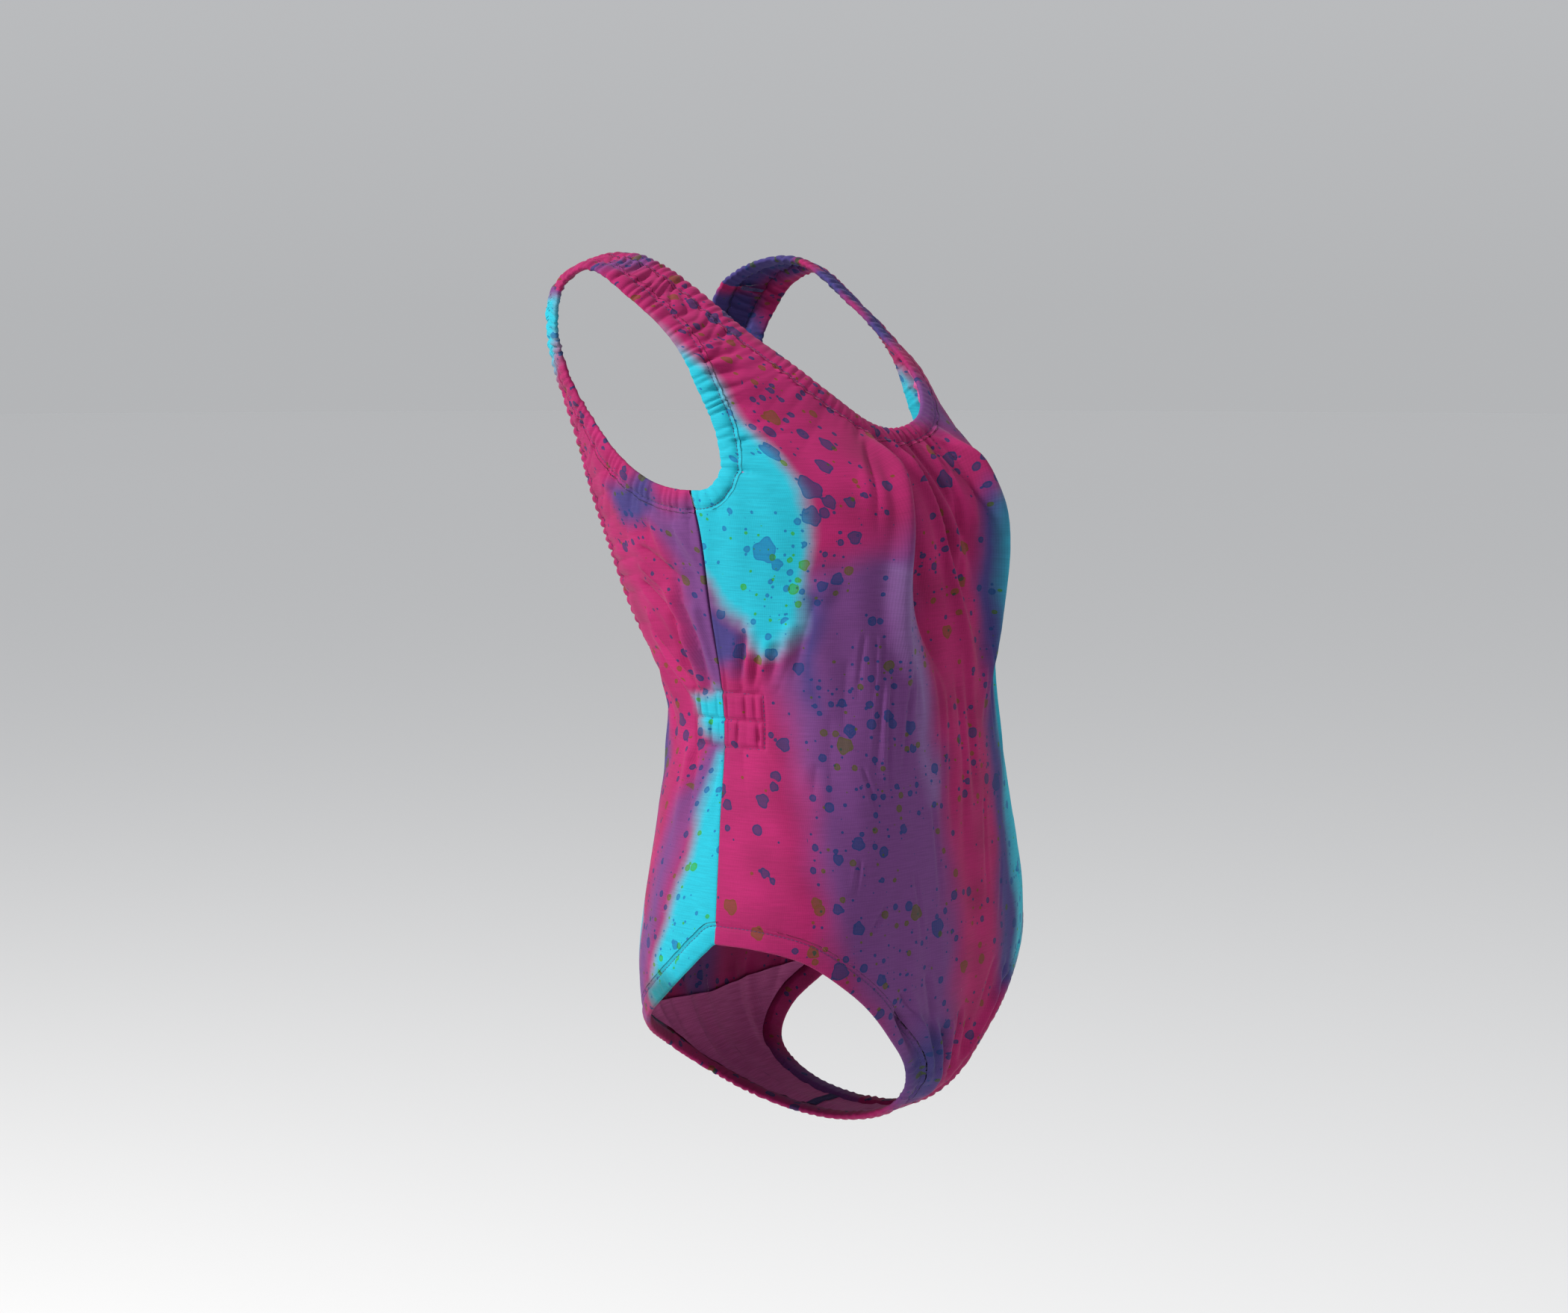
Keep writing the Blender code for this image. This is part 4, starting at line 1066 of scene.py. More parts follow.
class Nodes:
    """A material's node tree, built one node at a time."""

    def __init__(self, name):
        self.material = bpy.data.materials.new(name)
        self.material.use_nodes = True
        self.tree = self.material.node_tree
        self.shader = self.tree.nodes["Principled BSDF"]

    def add(self, kind, inputs=(), **settings):
        """Add a node, set its fields and plug in its inputs."""
        node = self.tree.nodes.new(kind)
        for field, value in settings.items():
            setattr(node, field, value)
        for key, value in dict(inputs).items():
            self.plug(node.inputs[key], value)
        return node

    def plug(self, socket, value):
        """Plug an output into a socket, or set its value."""
        if isinstance(value, bpy.types.NodeSocket):
            self.tree.links.new(value, socket)
        else:
            socket.default_value = value

    def math(self, operation, *values, clamp=False):
        """Add a math node and give its output."""
        node = self.add("ShaderNodeMath", dict(enumerate(values)), operation=operation, use_clamp=clamp)
        return node.outputs[0]

    def mix(self, blend, share, first, second):
        """Mix two colours and give the output."""
        node = self.add("ShaderNodeMix", {"Factor": share}, data_type="RGBA", blend_type=blend)
        self.plug(node.inputs[6], first)
        self.plug(node.inputs[7], second)
        return node.outputs[2]

    def field(self, name, output="Fac"):
        """Give a value stored on the mesh's points."""
        return self.add("ShaderNodeAttribute", attribute_name=name).outputs[output]

    def grey(self, shade):
        """Make a grey of the given shade."""
        return self.add("ShaderNodeCombineColor", {"Red": shade, "Green": shade, "Blue": shade}).outputs[0]

    def finish(self, colour, roughness, height, depth, strength):
        """Set the surface's colour, roughness and relief, and give the material."""
        bump = self.add("ShaderNodeBump", {"Height": height, "Distance": depth, "Strength": strength})
        self.plug(self.shader.inputs["Base Color"], colour)
        self.plug(self.shader.inputs["Normal"], bump.outputs[0])
        self.shader.inputs["Roughness"].default_value = roughness
        return self.material

    def ramp(self, value, low, high, to_low=0.0, to_high=1.0):
        """Map a range smoothly onto another and give the output."""
        inputs = {"Value": value, "From Min": low, "From Max": high, "To Min": to_low, "To Max": to_high}
        return self.add("ShaderNodeMapRange", inputs, interpolation_type="SMOOTHSTEP").outputs[0]


# the drops' cell size, smallest and largest radius in metres, the share of cells that hold one, and a shift
DROP_LAYERS = (
    (0.0190, 0.0020, 0.0042, 0.40, 0.37),
    (0.0115, 0.0010, 0.0026, 0.42, 1.91),
    (0.0060, 0.0004, 0.0012, 0.26, 5.30),
)
DROP_SPREAD = 0.8
BLUE_SHARE = 0.72
EDGE_JITTER = 0.0014
# what a drop does to the dye below it: the tint that it multiplies by, and the colour that it adds
BLUE_TINT, BLUE_ADDED = (0.055, 0.36, 0.62, 1.0), (0.004, 0.014, 0.030, 1.0)
YELLOW_TINT, YELLOW_ADDED = (0.42, 0.72, 0.10, 1.0), (0.016, 0.028, 0.004, 1.0)
LINING_DARK, LINING_LIGHT = (0.36, 0.055, 0.19, 1.0), (0.48, 0.085, 0.26, 1.0)
# the elastic's white, and a darker copy of it painted as shade in the weave's grooves
ELASTIC_GROOVE_SHADE, ELASTIC_LIGHT = (0.52, 0.52, 0.50, 1.0), (0.80, 0.80, 0.78, 1.0)
# the thread's colour, and a darker copy of it painted as shade in the twist's grooves
THREAD_GROOVE_SHADE, THREAD_LIGHT = (0.020, 0.014, 0.075, 1.0), (0.055, 0.040, 0.150, 1.0)


def drop_amounts(nodes, flat):
    """Give how much blue and how much yellow dye the scattered and the large drops leave."""
    noise = nodes.add("ShaderNodeTexNoise", {"Vector": flat, "Scale": 260.0, "Detail": 1.0})
    jitter = nodes.math("MULTIPLY", nodes.math("SUBTRACT", noise.outputs["Fac"], 0.5), EDGE_JITTER)
    crowd = nodes.add("ShaderNodeTexNoise", {"Vector": flat, "Scale": 14.0, "Detail": 0.0})
    crowds = nodes.ramp(crowd.outputs["Fac"], 0.36, 0.62, 0.30, 1.30)
    close = nodes.math("MULTIPLY", crowds, nodes.field("crowding"))
    blue, yellow = None, None
    for cell, smallest, largest, share, shift in DROP_LAYERS:
        moved = nodes.add("ShaderNodeVectorMath", {0: flat, 1: (shift, shift * 0.7, 0.0)}, operation="ADD")
        cells = nodes.add("ShaderNodeTexVoronoi",
                          {"Vector": moved.outputs[0], "Scale": 1 / cell, "Randomness": DROP_SPREAD},
                          voronoi_dimensions="2D")
        parts = nodes.add("ShaderNodeSeparateColor", {"Color": cells.outputs["Color"]})
        radius = nodes.ramp(parts.outputs["Green"], 0.0, 1.0, smallest, largest)
        distance = nodes.math("MULTIPLY", cells.outputs["Distance"], cell)
        inside = nodes.math("ADD", nodes.math("SUBTRACT", radius, distance), jitter)
        present = nodes.math("LESS_THAN", parts.outputs["Red"], nodes.math("MULTIPLY", close, share))
        amount = nodes.math("MULTIPLY", drop_profile(nodes, inside), present)
        is_blue = nodes.math("LESS_THAN", parts.outputs["Blue"], BLUE_SHARE)
        this_blue = nodes.math("MULTIPLY", amount, is_blue)
        this_yellow = nodes.math("SUBTRACT", amount, this_blue)
        blue = this_blue if blue is None else nodes.math("MAXIMUM", blue, this_blue)
        yellow = this_yellow if yellow is None else nodes.math("MAXIMUM", yellow, this_yellow)
    large_blue, large_yellow = (drop_profile(nodes, nodes.math("ADD", nodes.field(name), jitter))
                                for name in ("blue_drop", "yellow_drop"))
    return nodes.math("MAXIMUM", blue, large_blue), nodes.math("MAXIMUM", yellow, large_yellow)


def drop_profile(nodes, inside):
    """Shape a drop by the distance inside it: a crisp edge, a darker rim and a paler middle."""
    filled = nodes.ramp(inside, -0.00012, 0.00022)
    paler = nodes.ramp(inside, 0.0003, 0.0016, 1.0, 0.82)
    return nodes.math("MULTIPLY", filled, paler)


def knit(nodes, flat):
    """Give the jersey's height: fine ribs along the run, and slubs across it."""
    place = nodes.add("ShaderNodeSeparateXYZ", {"Vector": flat})
    ribs = nodes.add("ShaderNodeTexWave", {"Vector": flat, "Scale": 220.0, "Distortion": 1.2, "Detail": 1.0},
                     bands_direction="X")
    stretched = nodes.add("ShaderNodeCombineXYZ", {"X": nodes.math("MULTIPLY", place.outputs["X"], 55.0),
                                                   "Y": nodes.math("MULTIPLY", place.outputs["Y"], 1100.0)})
    slubs = nodes.add("ShaderNodeTexNoise", {"Vector": stretched.outputs[0], "Scale": 1.0, "Detail": 3.0})
    return ribs.outputs["Fac"], slubs.outputs["Fac"]


def dropped(nodes, colour, amount, tint, added):
    """Dye a colour over with drops."""
    over = nodes.mix("ADD", 1.0, nodes.mix("MULTIPLY", 1.0, colour, tint), added)
    return nodes.mix("MIX", amount, colour, over)


def dyed_jersey():
    """Make the dyed jersey: ground dye with its patch of painted shade, drops, knit and slubs, with painted
    shade and light along the knit's ribs.
    """
    nodes = Nodes("dyed_jersey_finish")
    flat = nodes.field("flat", "Vector")
    ribs, slubs = knit(nodes, flat)
    blue, yellow = drop_amounts(nodes, flat)
    # the slubs vary the yarn's own tone; the ribs add painted shade in their grooves and painted light on
    # their crests
    slub_shade, rib_painted_shade = nodes.ramp(slubs, 0.3, 0.7, 0.90, 1.06), nodes.ramp(ribs, 0.0, 1.0, -0.03, 0.03)
    shade = nodes.math("ADD", slub_shade, rib_painted_shade)
    colour = nodes.mix("MULTIPLY", 1.0, nodes.field("dye_and_painted_shade", "Color"), nodes.grey(shade))
    colour = dropped(nodes, colour, blue, BLUE_TINT, BLUE_ADDED)
    colour = dropped(nodes, colour, yellow, YELLOW_TINT, YELLOW_ADDED)
    height = nodes.math("ADD", nodes.math("MULTIPLY", slubs, 0.7), nodes.math("MULTIPLY", ribs, 0.3))
    nodes.shader.inputs["Sheen Weight"].default_value = 0.04
    nodes.shader.inputs["Sheen Roughness"].default_value = 0.5
    nodes.shader.inputs["Specular IOR Level"].default_value = 0.18
    return nodes.finish(colour, 0.78, height, 0.00025, 0.6)


def lining_jersey():
    """Make the pale lining's fine jersey."""
    nodes = Nodes("lining_finish")
    ribs, slubs = knit(nodes, nodes.field("flat", "Vector"))
    colour = nodes.mix("MIX", nodes.ramp(slubs, 0.3, 0.7), LINING_DARK, LINING_LIGHT)
    height = nodes.math("ADD", nodes.math("MULTIPLY", slubs, 0.5), nodes.math("MULTIPLY", ribs, 0.5))
    return nodes.finish(colour, 0.82, height, 0.0002, 0.5)


def woven_elastic():
    """Make the white elastic: ribs along it, crossed by fine weft, with painted shade darkening its grooves.
    """
    nodes = Nodes("elastic_finish")
    flat = nodes.field("flat", "Vector")
    ribs = nodes.add("ShaderNodeTexWave", {"Vector": flat, "Scale": 200.0}, bands_direction="X")
    weft = nodes.add("ShaderNodeTexWave", {"Vector": flat, "Scale": 330.0, "Distortion": 0.6},
                     bands_direction="Y")
    weave = nodes.math("ADD", nodes.math("MULTIPLY", weft.outputs["Fac"], 0.6), 0.4)
    height = nodes.math("MULTIPLY", ribs.outputs["Fac"], weave)
    # the weave's height also picks the colour: painted shade in the grooves
    colour = nodes.mix("MIX", height, ELASTIC_GROOVE_SHADE, ELASTIC_LIGHT)
    return nodes.finish(colour, 0.55, height, 0.0002, 0.7)


def spun_thread():
    """Make the sewing thread, with its twist, and painted shade in the twist's grooves."""
    nodes = Nodes("thread_finish")
    twist = nodes.add("ShaderNodeTexWave",
                      {"Vector": nodes.field("flat", "Vector"), "Scale": 900.0, "Distortion": 1.5},
                      bands_direction="DIAGONAL").outputs["Fac"]
    # the twist's height also picks the colour: painted shade in its grooves
    colour = nodes.mix("MIX", twist, THREAD_GROOVE_SHADE, THREAD_LIGHT)
    return nodes.finish(colour, 0.6, twist, 0.00008, 0.6)


# ---------------------------------------------------------------- linings, elastics, seams and stitches

STITCH = 0.0026
STITCH_PITCH = 0.0031
STITCH_RADIUS = 0.00021
STITCH_ARCH = 0.00045
STITCH_SUNK = 0.0002
OVERLOCK_PITCH = 0.0021
OVERLOCK_RADIUS = 0.00018
# how far the looping thread lies off the seam, and how much that varies, in thread radii
LOOP_LIFT = 1.2
LOOP_SWING = 0.6
# where the short seams' threads start and stop, as shares of the seams
SHOULDER_THREAD_SPAN = (0.06, 0.94)
CROTCH_THREAD_END = 0.985
TAPE_STEP = 0.0016


def grid_faces(rows, columns, first=0):
    """List the faces of a grid of points."""
    faces = []
    for row in range(rows - 1):
        for column in range(columns - 1):
            at = first + row * columns + column
            faces.append((at, at + columns, at + columns + 1, at + 1))
    return faces


def seam_places(from_seam, level):
    """Give places round the side seam: in front of it where from_seam is negative, behind it otherwise."""
    from_seam, level = np.broadcast_arrays(np.asarray(from_seam, float), np.asarray(level, float))
    in_front = from_seam < 0
    run = np.where(in_front, level, 2 * RIDGE - level)
    speed = np.linalg.norm(directions(np.full(run.shape, 0.95), run)[0], axis=-1)
    return 1 - np.abs(from_seam) / speed, run


def edge_places(edge, from_edge, step):
    """Give evenly spaced places round an opening of the right half, at a distance inside its edge."""
    line = EDGES[edge]
    count = max(int(round(line.arcs[-1] / step)), 2)
    at = np.linspace(0, line.arcs[-1], count + 1)
    parts = [np.interp(at, line.arcs, column) for column in line.line.T]
    share = from_edge / CASING
    turn = np.minimum(parts[0] * (1 - share) + parts[2] * share, 1)
    return turn, parts[1] * (1 - share) + parts[3] * share


def rods(points, sides=6, radius=STITCH_RADIUS):
    """Make round rods along rows of points, with closed ends."""
    points = np.asarray(points)
    count, stations, _ = points.shape
    along = unit(np.gradient(points, axis=1) + 1e-12)
    away = unit(np.cross(along, np.array([0.31, 0.83, 0.46])))
    other = np.cross(along, away)
    angles = np.arange(sides) * 2 * math.pi / sides
    ring = away[:, :, None] * np.cos(angles)[:, None] + other[:, :, None] * np.sin(angles)[:, None]
    corners = (points[:, :, None] + ring * radius).reshape(-1, 3)
    faces = []
    for rod in range(count):
        first = rod * stations * sides
        for station in range(stations - 1):
            for k in range(sides):
                at, following = first + station * sides, (k + 1) % sides
                faces.append((at + k, at + following, at + sides + following, at + sides + k))
        last = first + (stations - 1) * sides
        faces.append(tuple(first + k for k in range(sides - 1, -1, -1)))
        faces.append(tuple(last + k for k in range(sides)))
    return corners, faces


def stitch_row(turn, run, side):
    """Give the points of a row of stitches along places on the cloth."""
    middle = put(turn, run, side)
    reach = lengths_along(middle)
    count = max(int(reach[-1] / STITCH_PITCH), 1)
    starts = (np.arange(count) + 0.5) * reach[-1] / count
    shares = np.array([-0.5, -0.3, 0.0, 0.3, 0.5])
    at = starts[:, None] + shares * STITCH
    arch = STITCH_ARCH * (1 - (2 * np.abs(shares)) ** 2.5) - STITCH_SUNK
    stitch_turn, stitch_run = np.interp(at, reach, turn), np.interp(at, reach, run)
    return put(stitch_turn, stitch_run, side, np.broadcast_to(-arch, at.shape))


def thread_piece(name, points, faces, node):
    """Make a piece of sewing thread."""
    piece = new_mesh(name, points, faces, THREAD_FINISH)
    add_attribute(piece.data, "flat", "FLOAT_VECTOR", points)
    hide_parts(node)


def stitches(name, rows, node):
    """Make rows of stitches as one piece."""
    thread_piece(name, *rods(np.concatenate(rows)), node)


def tape(name, sections, node, finish):
    """Make a flat tape from its sections, each a loop of corners, with closed ends."""
    sections = np.asarray(sections)
    count, corners, _ = sections.shape
    faces = []
    for row in range(count - 1):
        for k in range(corners):
            following = (k + 1) % corners
            faces.append((row * corners + k, row * corners + following,
                          (row + 1) * corners + following, (row + 1) * corners + k))
    faces.append(tuple(range(corners - 1, -1, -1)))
    faces.append(tuple((count - 1) * corners + k for k in range(corners)))
    piece = new_mesh(name, sections.reshape(-1, 3), faces, finish, False)
    reach = lengths_along(sections.mean(axis=1))
    width = np.linalg.norm(sections - sections[:, :1], axis=2)
    flat = np.stack([width, np.broadcast_to(reach[:, None], width.shape), np.zeros(width.shape)], axis=2)
    add_attribute(piece.data, "flat", "FLOAT_VECTOR", flat)
    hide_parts(node)


def make_elastics():
    """Make the elastic inside the casing of each opening."""
    across = np.linspace(ELASTIC_START, ELASTIC_START + ELASTIC_WIDTH, 6)
    corners = [(from_edge, FOLD - ELASTIC / 2) for from_edge in across]
    corners += [(from_edge, FOLD + ELASTIC / 2) for from_edge in across[::-1]]
    for opening, edge in (("neckline", "neck"), ("armhole", "arm"), ("leg", "leg")):
        halves = []
        for side in (1, -1):
            places = [put(*edge_places(edge, from_edge, TAPE_STEP), side, depth)
                      for from_edge, depth in corners]
            halves.append(np.stack(places, axis=1))
        if edge == "neck":
            loop = np.concatenate([halves[0], halves[1][-2:0:-1], halves[0][:1]])
            tape("neckline_elastic_tape", loop, "neckline_elastic", ELASTIC_FINISH)
        else:
            for side_name, half in zip(("right", "left"), halves):
                name = f"{opening}_elastic_{side_name}"
                tape(f"{name}_tape", half, name, ELASTIC_FINISH)


def make_topstitching():
    """Make the stitches that hold the casing of each opening."""
    rows = {edge: [stitch_row(*edge_places(edge, STITCH_LINE, 0.001), side) for side in (1, -1)]
            for edge in EDGES}
    stitches("neckline_stitches", rows["neck"], "neckline_topstitch")
    for opening, edge in (("armhole", "arm"), ("leg", "leg")):
        for side_name, row in zip(("right", "left"), rows[edge]):
            stitches(f"{opening}_stitches_{side_name}", [row], f"{opening}_topstitch_{side_name}")


def lining_sheet(name, inner, outer, node, columns):
    """Make a lining from the two sides of its rows: both halves, joined where they meet."""
    share = np.linspace(0, 1, columns + 1)
    turn = inner[:, :1] + (outer[:, :1] - inner[:, :1]) * share
    run = inner[:, 1:] + (outer[:, 1:] - inner[:, 1:]) * share
    rows, wide = turn.shape
    points = np.concatenate([put(turn, run, side, LINING_DEPTH).reshape(-1, 3) for side in (1, -1)])
    faces = grid_faces(rows, wide) + [face[::-1] for face in grid_faces(rows, wide, rows * wide)]
    across = girth(turn, run).ravel()
    flat = np.stack([np.concatenate([across, -across]), np.tile(once_round(run).ravel(), 2),
                     np.zeros(2 * rows * wide)], axis=1)
    kept, faces = merged_middle(points, faces)
    piece = new_mesh(name, points[kept], faces, LINING_FINISH)
    add_attribute(piece.data, "flat", "FLOAT_VECTOR", flat[kept])
    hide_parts(node)


def make_linings():
    """Make the front lining, the crotch lining, and the elastic along the front lining's lower edge."""
    front_inner, front_outer, _ = front_pattern()
    back_inner, back_outer, _ = back_pattern()
    lined = slice(LINING_TOP_ROW * FINENESS, LINING_BOTTOM_ROW * FINENESS + 1, 3)
    lining_sheet("front_lining_sheet", front_inner[lined], front_outer[lined], "front_lining", 60)
    reach = (CROTCH_LINING_ROWS - 1) * FINENESS
    inner = np.concatenate([front_inner[-reach - 1:], (back_inner - (0, PERIOD))[-1:-reach - 2:-1]])[::2]
    outer = np.concatenate([front_outer[-reach - 1:], (back_outer - (0, PERIOD))[-1:-reach - 2:-1]])[::2]
    lining_sheet("crotch_lining_sheet", inner, outer, "crotch_lining", 40)
    low_inner, low_outer = front_inner[lined][-1], front_outer[lined][-1]
    share = np.linspace(0, 1 - 0.003, 160)
    turn = low_inner[0] + (low_outer[0] - low_inner[0]) * share
    run = low_inner[1] + (low_outer[1] - low_inner[1]) * share
    corners = ((0, 0), (ELASTIC_WIDTH, 0), (ELASTIC_WIDTH, ELASTIC), (0, ELASTIC))
    halves = []
    for side in (1, -1):
        places = [put(turn, run + up, side, LINING_ELASTIC_DEPTH + deep) for up, deep in corners]
        halves.append(np.stack(places, axis=1))
    tape("lining_elastic_tape", np.concatenate([halves[0][::-1], halves[1][1:]]), "lining_elastic",
         ELASTIC_FINISH)


def waist_casing(side_name, side, round_seam):
    """Make the strip of lining cloth that covers a side's waist elastics inside."""
    heights = np.linspace(-CHANNEL, CHANNEL, 9)
    points = np.stack([put(*seam_places(round_seam, height), side, WAIST_CASING_DEPTH)
                       for height in heights], axis=1)
    faces = grid_faces(len(round_seam), len(heights))
    piece = new_mesh(f"waist_casing_{side_name}_sheet", points.reshape(-1, 3), faces, LINING_FINISH)
    round_places, level = np.meshgrid(round_seam, heights, indexing="ij")
    add_attribute(piece.data, "flat", "FLOAT_VECTOR", np.stack([round_places, level, 0 * level], axis=2))
    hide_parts(f"waist_casing_{side_name}")


def make_waist_tabs():
    """Make each side's two waist elastics, the strip that covers them inside, and their stitching."""
    margin = (CHANNEL - WAIST_ELASTIC_WIDTH) / 2
    round_seam = np.linspace(-TAB_FRONT, TAB_BACK, 60)
    bands = (
        ("waist_elastic_upper", (margin, CHANNEL - margin)),
        ("waist_elastic_lower", (margin - CHANNEL, -margin)),
    )
    for side_name, side in (("right", 1), ("left", -1)):
        for kind, heights in bands:
            outer = [(height, WAIST_ELASTIC_DEPTH) for height in heights]
            inner = [(height, WAIST_ELASTIC_DEPTH + ELASTIC) for height in heights[::-1]]
            sections = [put(*seam_places(round_seam, height), side, deep) for height, deep in outer + inner]
            name = f"{kind}_{side_name}"
            tape(f"{name}_tape", np.stack(sections, axis=1), name, ELASTIC_FINISH)
        waist_casing(side_name, side, round_seam)
        rows = []
        for height in (CHANNEL, 0.0, -CHANNEL):
            turn, run = seam_places(round_seam, height)
            for half in (round_seam < 0, round_seam >= 0):
                rows.append(stitch_row(turn[half], run[half], side))
        for end in (-TAB_FRONT, TAB_BACK):
            turn, run = seam_places(end, np.linspace(-CHANNEL, CHANNEL, 30))
            rows.append(stitch_row(turn, run, side))
        stitches(f"waist_stitches_{side_name}", rows, f"waist_stitching_{side_name}")


def overlock(name, edge_a, edge_b, node):
    """Make an overlocked seam: the flat allowance between two lines, and the thread looping over it."""
    steps = lengths_along(edge_a)
    loops = max(int(steps[-1] / OVERLOCK_PITCH), 2)
    phase = np.linspace(0, loops, loops * 8 + 1)
    share = 0.5 - 0.5 * np.cos(phase * 2 * math.pi)
    at = phase / loops * steps[-1]
    a = np.stack([np.interp(at, steps, column) for column in edge_a.T], axis=1)
    b = np.stack([np.interp(at, steps, column) for column in edge_b.T], axis=1)
    normal = unit(np.cross(np.gradient(a, axis=0), b - a))
    line = a + (b - a) * share[:, None]
    lifts = OVERLOCK_RADIUS * (LOOP_LIFT + LOOP_SWING * np.sin(phase * 2 * math.pi))
    threads = [line + normal * lifts[:, None], line - normal * lifts[:, None], a, b]
    points, faces = rods(np.stack(threads), radius=OVERLOCK_RADIUS)
    start = len(points)
    points = np.concatenate([points, np.stack([a[::4], b[::4]], axis=1).reshape(-1, 3)])
    faces += grid_faces(len(a[::4]), 2, start)
    thread_piece(name, points, faces, node)


def make_overlocks():
    """Make the overlocked seams at the sides, the shoulders and the crotch."""
    front_inner, front_outer, _ = front_pattern()
    levels = np.linspace(LEG_EDGE[0][1] + HEM, ARM_EDGE[0][1] - HEM, 120)
    half = OVERLOCK_WIDTH / 2
    top_inner, top_outer = front_inner[0], front_outer[0]
    share = np.linspace(*SHOULDER_THREAD_SPAN, 30)
    turns = top_inner[0] + (top_outer[0] - top_inner[0]) * share
    crotch_turns = np.linspace(front_inner[-1, 0], front_outer[-1, 0] * CROTCH_THREAD_END, 30)
    for side_name, side in (("right", 1), ("left", -1)):
        lines = [put(*seam_places(off, levels), side, OVERLOCK_DEPTH) for off in (-half, half)]
        overlock(f"side_overlock_{side_name}", *lines, f"side_seam_overlock_{side_name}")
        lines = [put(turns, SHOULDER_SEAM + off, side, SHOULDER_OVERLOCK_DEPTH) for off in (-half, half)]
        overlock(f"shoulder_overlock_{side_name}", *lines, f"shoulder_seam_overlock_{side_name}")
    lines = []
    for off in (-half, half):
        right, left = (put(crotch_turns, CROTCH_SEAM + off, side, OVERLOCK_DEPTH) for side in (1, -1))
        lines.append(np.concatenate([right[::-1], left[1:]]))
    overlock("crotch_overlock", *lines, "crotch_seam_overlock")


# ---------------------------------------------------------------- camera, light and floor

CAMERA_AZIMUTH = -55.0
CAMERA_DISTANCE = 2.30
CAMERA_HEIGHT = 0.30
# sensor width and focal length, in millimetres, and how far it is turned down and aside, in degrees
SENSOR = 36.0
FOCAL_LENGTH = 69.7714
PITCH_DOWN = 6.6
TURN_ASIDE = 0.7742
FLOOR_CORNERS = 64
FLOOR_REACH = 40.0
FLOOR_LEVEL = -1.15
# how strong the light from all round is at the horizon, and from this height of the sky up
HORIZON_LIGHT = 0.475
SKY_LIGHT = 0.60
SKY_RISE = 0.35
SKY_COLOUR = (0.96, 0.975, 1.0, 1.0)
# each lamp: azimuth and elevation in degrees, distance and size in metres, watts, colour
KEY_LAMP = (-120, 38, 5.0, 0.9, 350, (1.0, 0.98, 0.95))
FILL_LAMP = (30, 52, 4.5, 0.9, 40, (0.95, 0.97, 1.0))


def make_camera():
    """Set the camera at the picture's viewing angle."""
    data = bpy.data.cameras.new("camera")
    data.sensor_width = SENSOR
    data.lens = FOCAL_LENGTH
    data.clip_start, data.clip_end = 0.05, 200
    camera = bpy.data.objects.new("camera", data)
    bpy.context.scene.collection.objects.link(camera)
    azimuth = math.radians(CAMERA_AZIMUTH)
    place = Vector((math.sin(azimuth), -math.cos(azimuth), 0)) * CAMERA_DISTANCE
    place.z = CAMERA_HEIGHT
    heading = azimuth + math.radians(TURN_ASIDE)
    down = math.radians(PITCH_DOWN)
    level = Vector((-math.sin(heading), math.cos(heading), 0)) * math.cos(down)
    look = level - Vector((0, 0, math.sin(down)))
    camera.location = place
    camera.rotation_mode = "QUATERNION"
    camera.rotation_quaternion = look.to_track_quat("-Z", "Y")
    bpy.context.scene.camera = camera


def area_light(name, azimuth, elevation, distance, size, power, colour):
    """Hang a soft lamp that faces the garment."""
    data = bpy.data.lights.new(name, "AREA")
    data.shape, data.size, data.energy, data.color = "DISK", size, power, colour
    lamp = bpy.data.objects.new(name, data)
    bpy.context.scene.collection.objects.link(lamp)
    bearing, rise = math.radians(azimuth), math.radians(elevation)
    level = Vector((math.sin(bearing), -math.cos(bearing), 0)) * math.cos(rise)
    lamp.location = (level + Vector((0, 0, math.sin(rise)))) * distance
    lamp.rotation_mode = "QUATERNION"
    lamp.rotation_quaternion = (-lamp.location).to_track_quat("-Z", "Y")


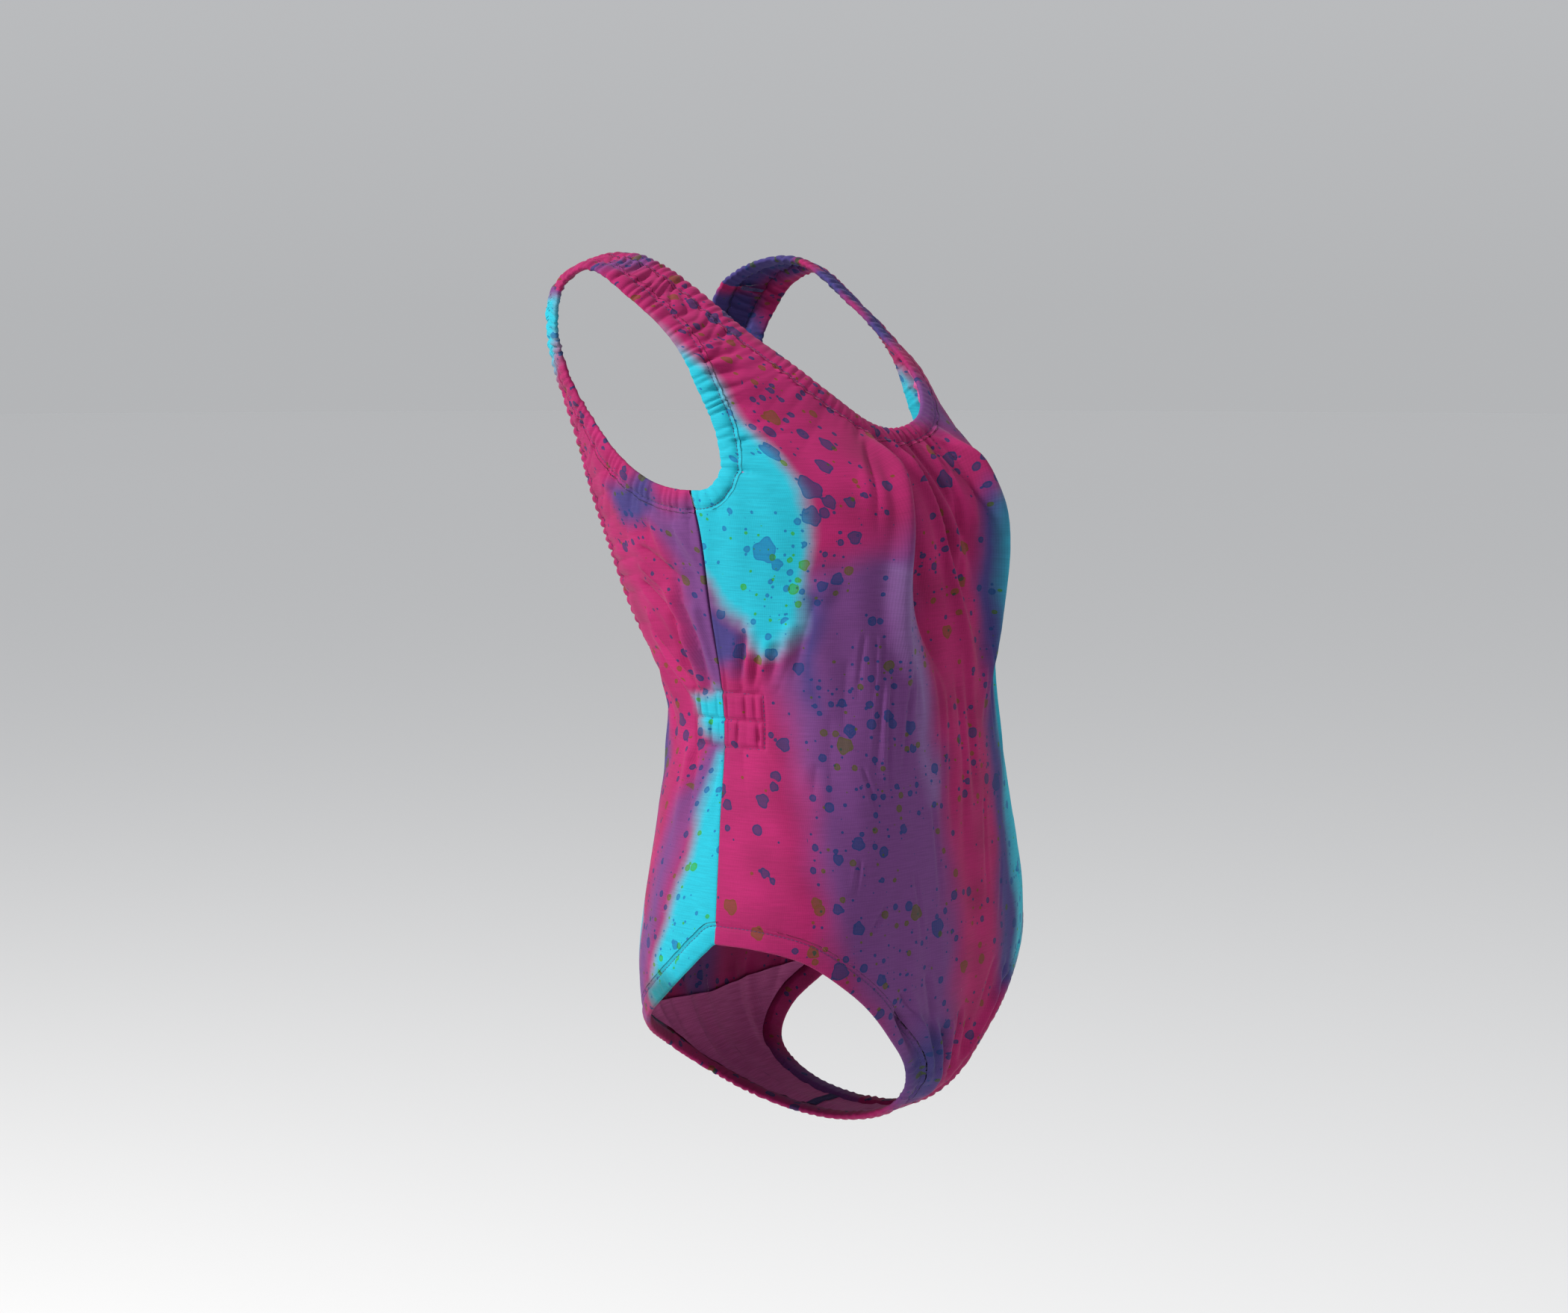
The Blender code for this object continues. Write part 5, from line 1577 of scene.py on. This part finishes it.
def make_floor():
    """Make the plain pale floor."""
    finish = Nodes("floor_finish")
    noise = finish.add("ShaderNodeTexNoise", {"Scale": 3.0, "Detail": 2.0})
    shade = finish.ramp(noise.outputs["Fac"], 0.0, 1.0, 0.78, 0.82)
    finish.plug(finish.shader.inputs["Base Color"], finish.grey(shade))
    finish.shader.inputs["Roughness"].default_value = 0.9
    mesh = bpy.data.meshes.new("floor")
    angles = [2 * math.pi * k / FLOOR_CORNERS for k in range(FLOOR_CORNERS)]
    ring = [(FLOOR_REACH * math.cos(angle), FLOOR_REACH * math.sin(angle), FLOOR_LEVEL) for angle in angles]
    mesh.from_pydata(ring, [], [tuple(range(FLOOR_CORNERS))])
    mesh.materials.append(finish.material)
    floor = bpy.data.objects.new("floor", mesh)
    bpy.context.scene.collection.objects.link(floor)


def make_surroundings():
    """Light the scene from all round, a little less near the horizon."""
    world = bpy.data.worlds.new("surroundings")
    world.use_nodes = True
    tree = world.node_tree
    place = tree.nodes.new("ShaderNodeTexCoord")
    parts = tree.nodes.new("ShaderNodeSeparateXYZ")
    rise = tree.nodes.new("ShaderNodeMapRange")
    rise.inputs["From Max"].default_value = SKY_RISE
    rise.inputs["To Min"].default_value = HORIZON_LIGHT
    rise.inputs["To Max"].default_value = SKY_LIGHT
    tree.links.new(place.outputs["Generated"], parts.inputs[0])
    tree.links.new(parts.outputs["Z"], rise.inputs["Value"])
    tree.links.new(rise.outputs[0], tree.nodes["Background"].inputs["Strength"])
    tree.nodes["Background"].inputs["Color"].default_value = SKY_COLOUR
    bpy.context.scene.world = world


def make_studio():
    """Make the floor, the lamps and the surrounding light."""
    make_floor()
    area_light("key", *KEY_LAMP)
    area_light("fill", *FILL_LAMP)
    make_surroundings()
    bpy.context.scene.view_settings.view_transform = "Standard"


make_camera()
make_studio()
JERSEY = dyed_jersey()
LINING_FINISH = lining_jersey()
ELASTIC_FINISH = woven_elastic()
THREAD_FINISH = spun_thread()
make_skins(JERSEY)
make_linings()
make_elastics()
make_topstitching()
make_waist_tabs()
make_overlocks()
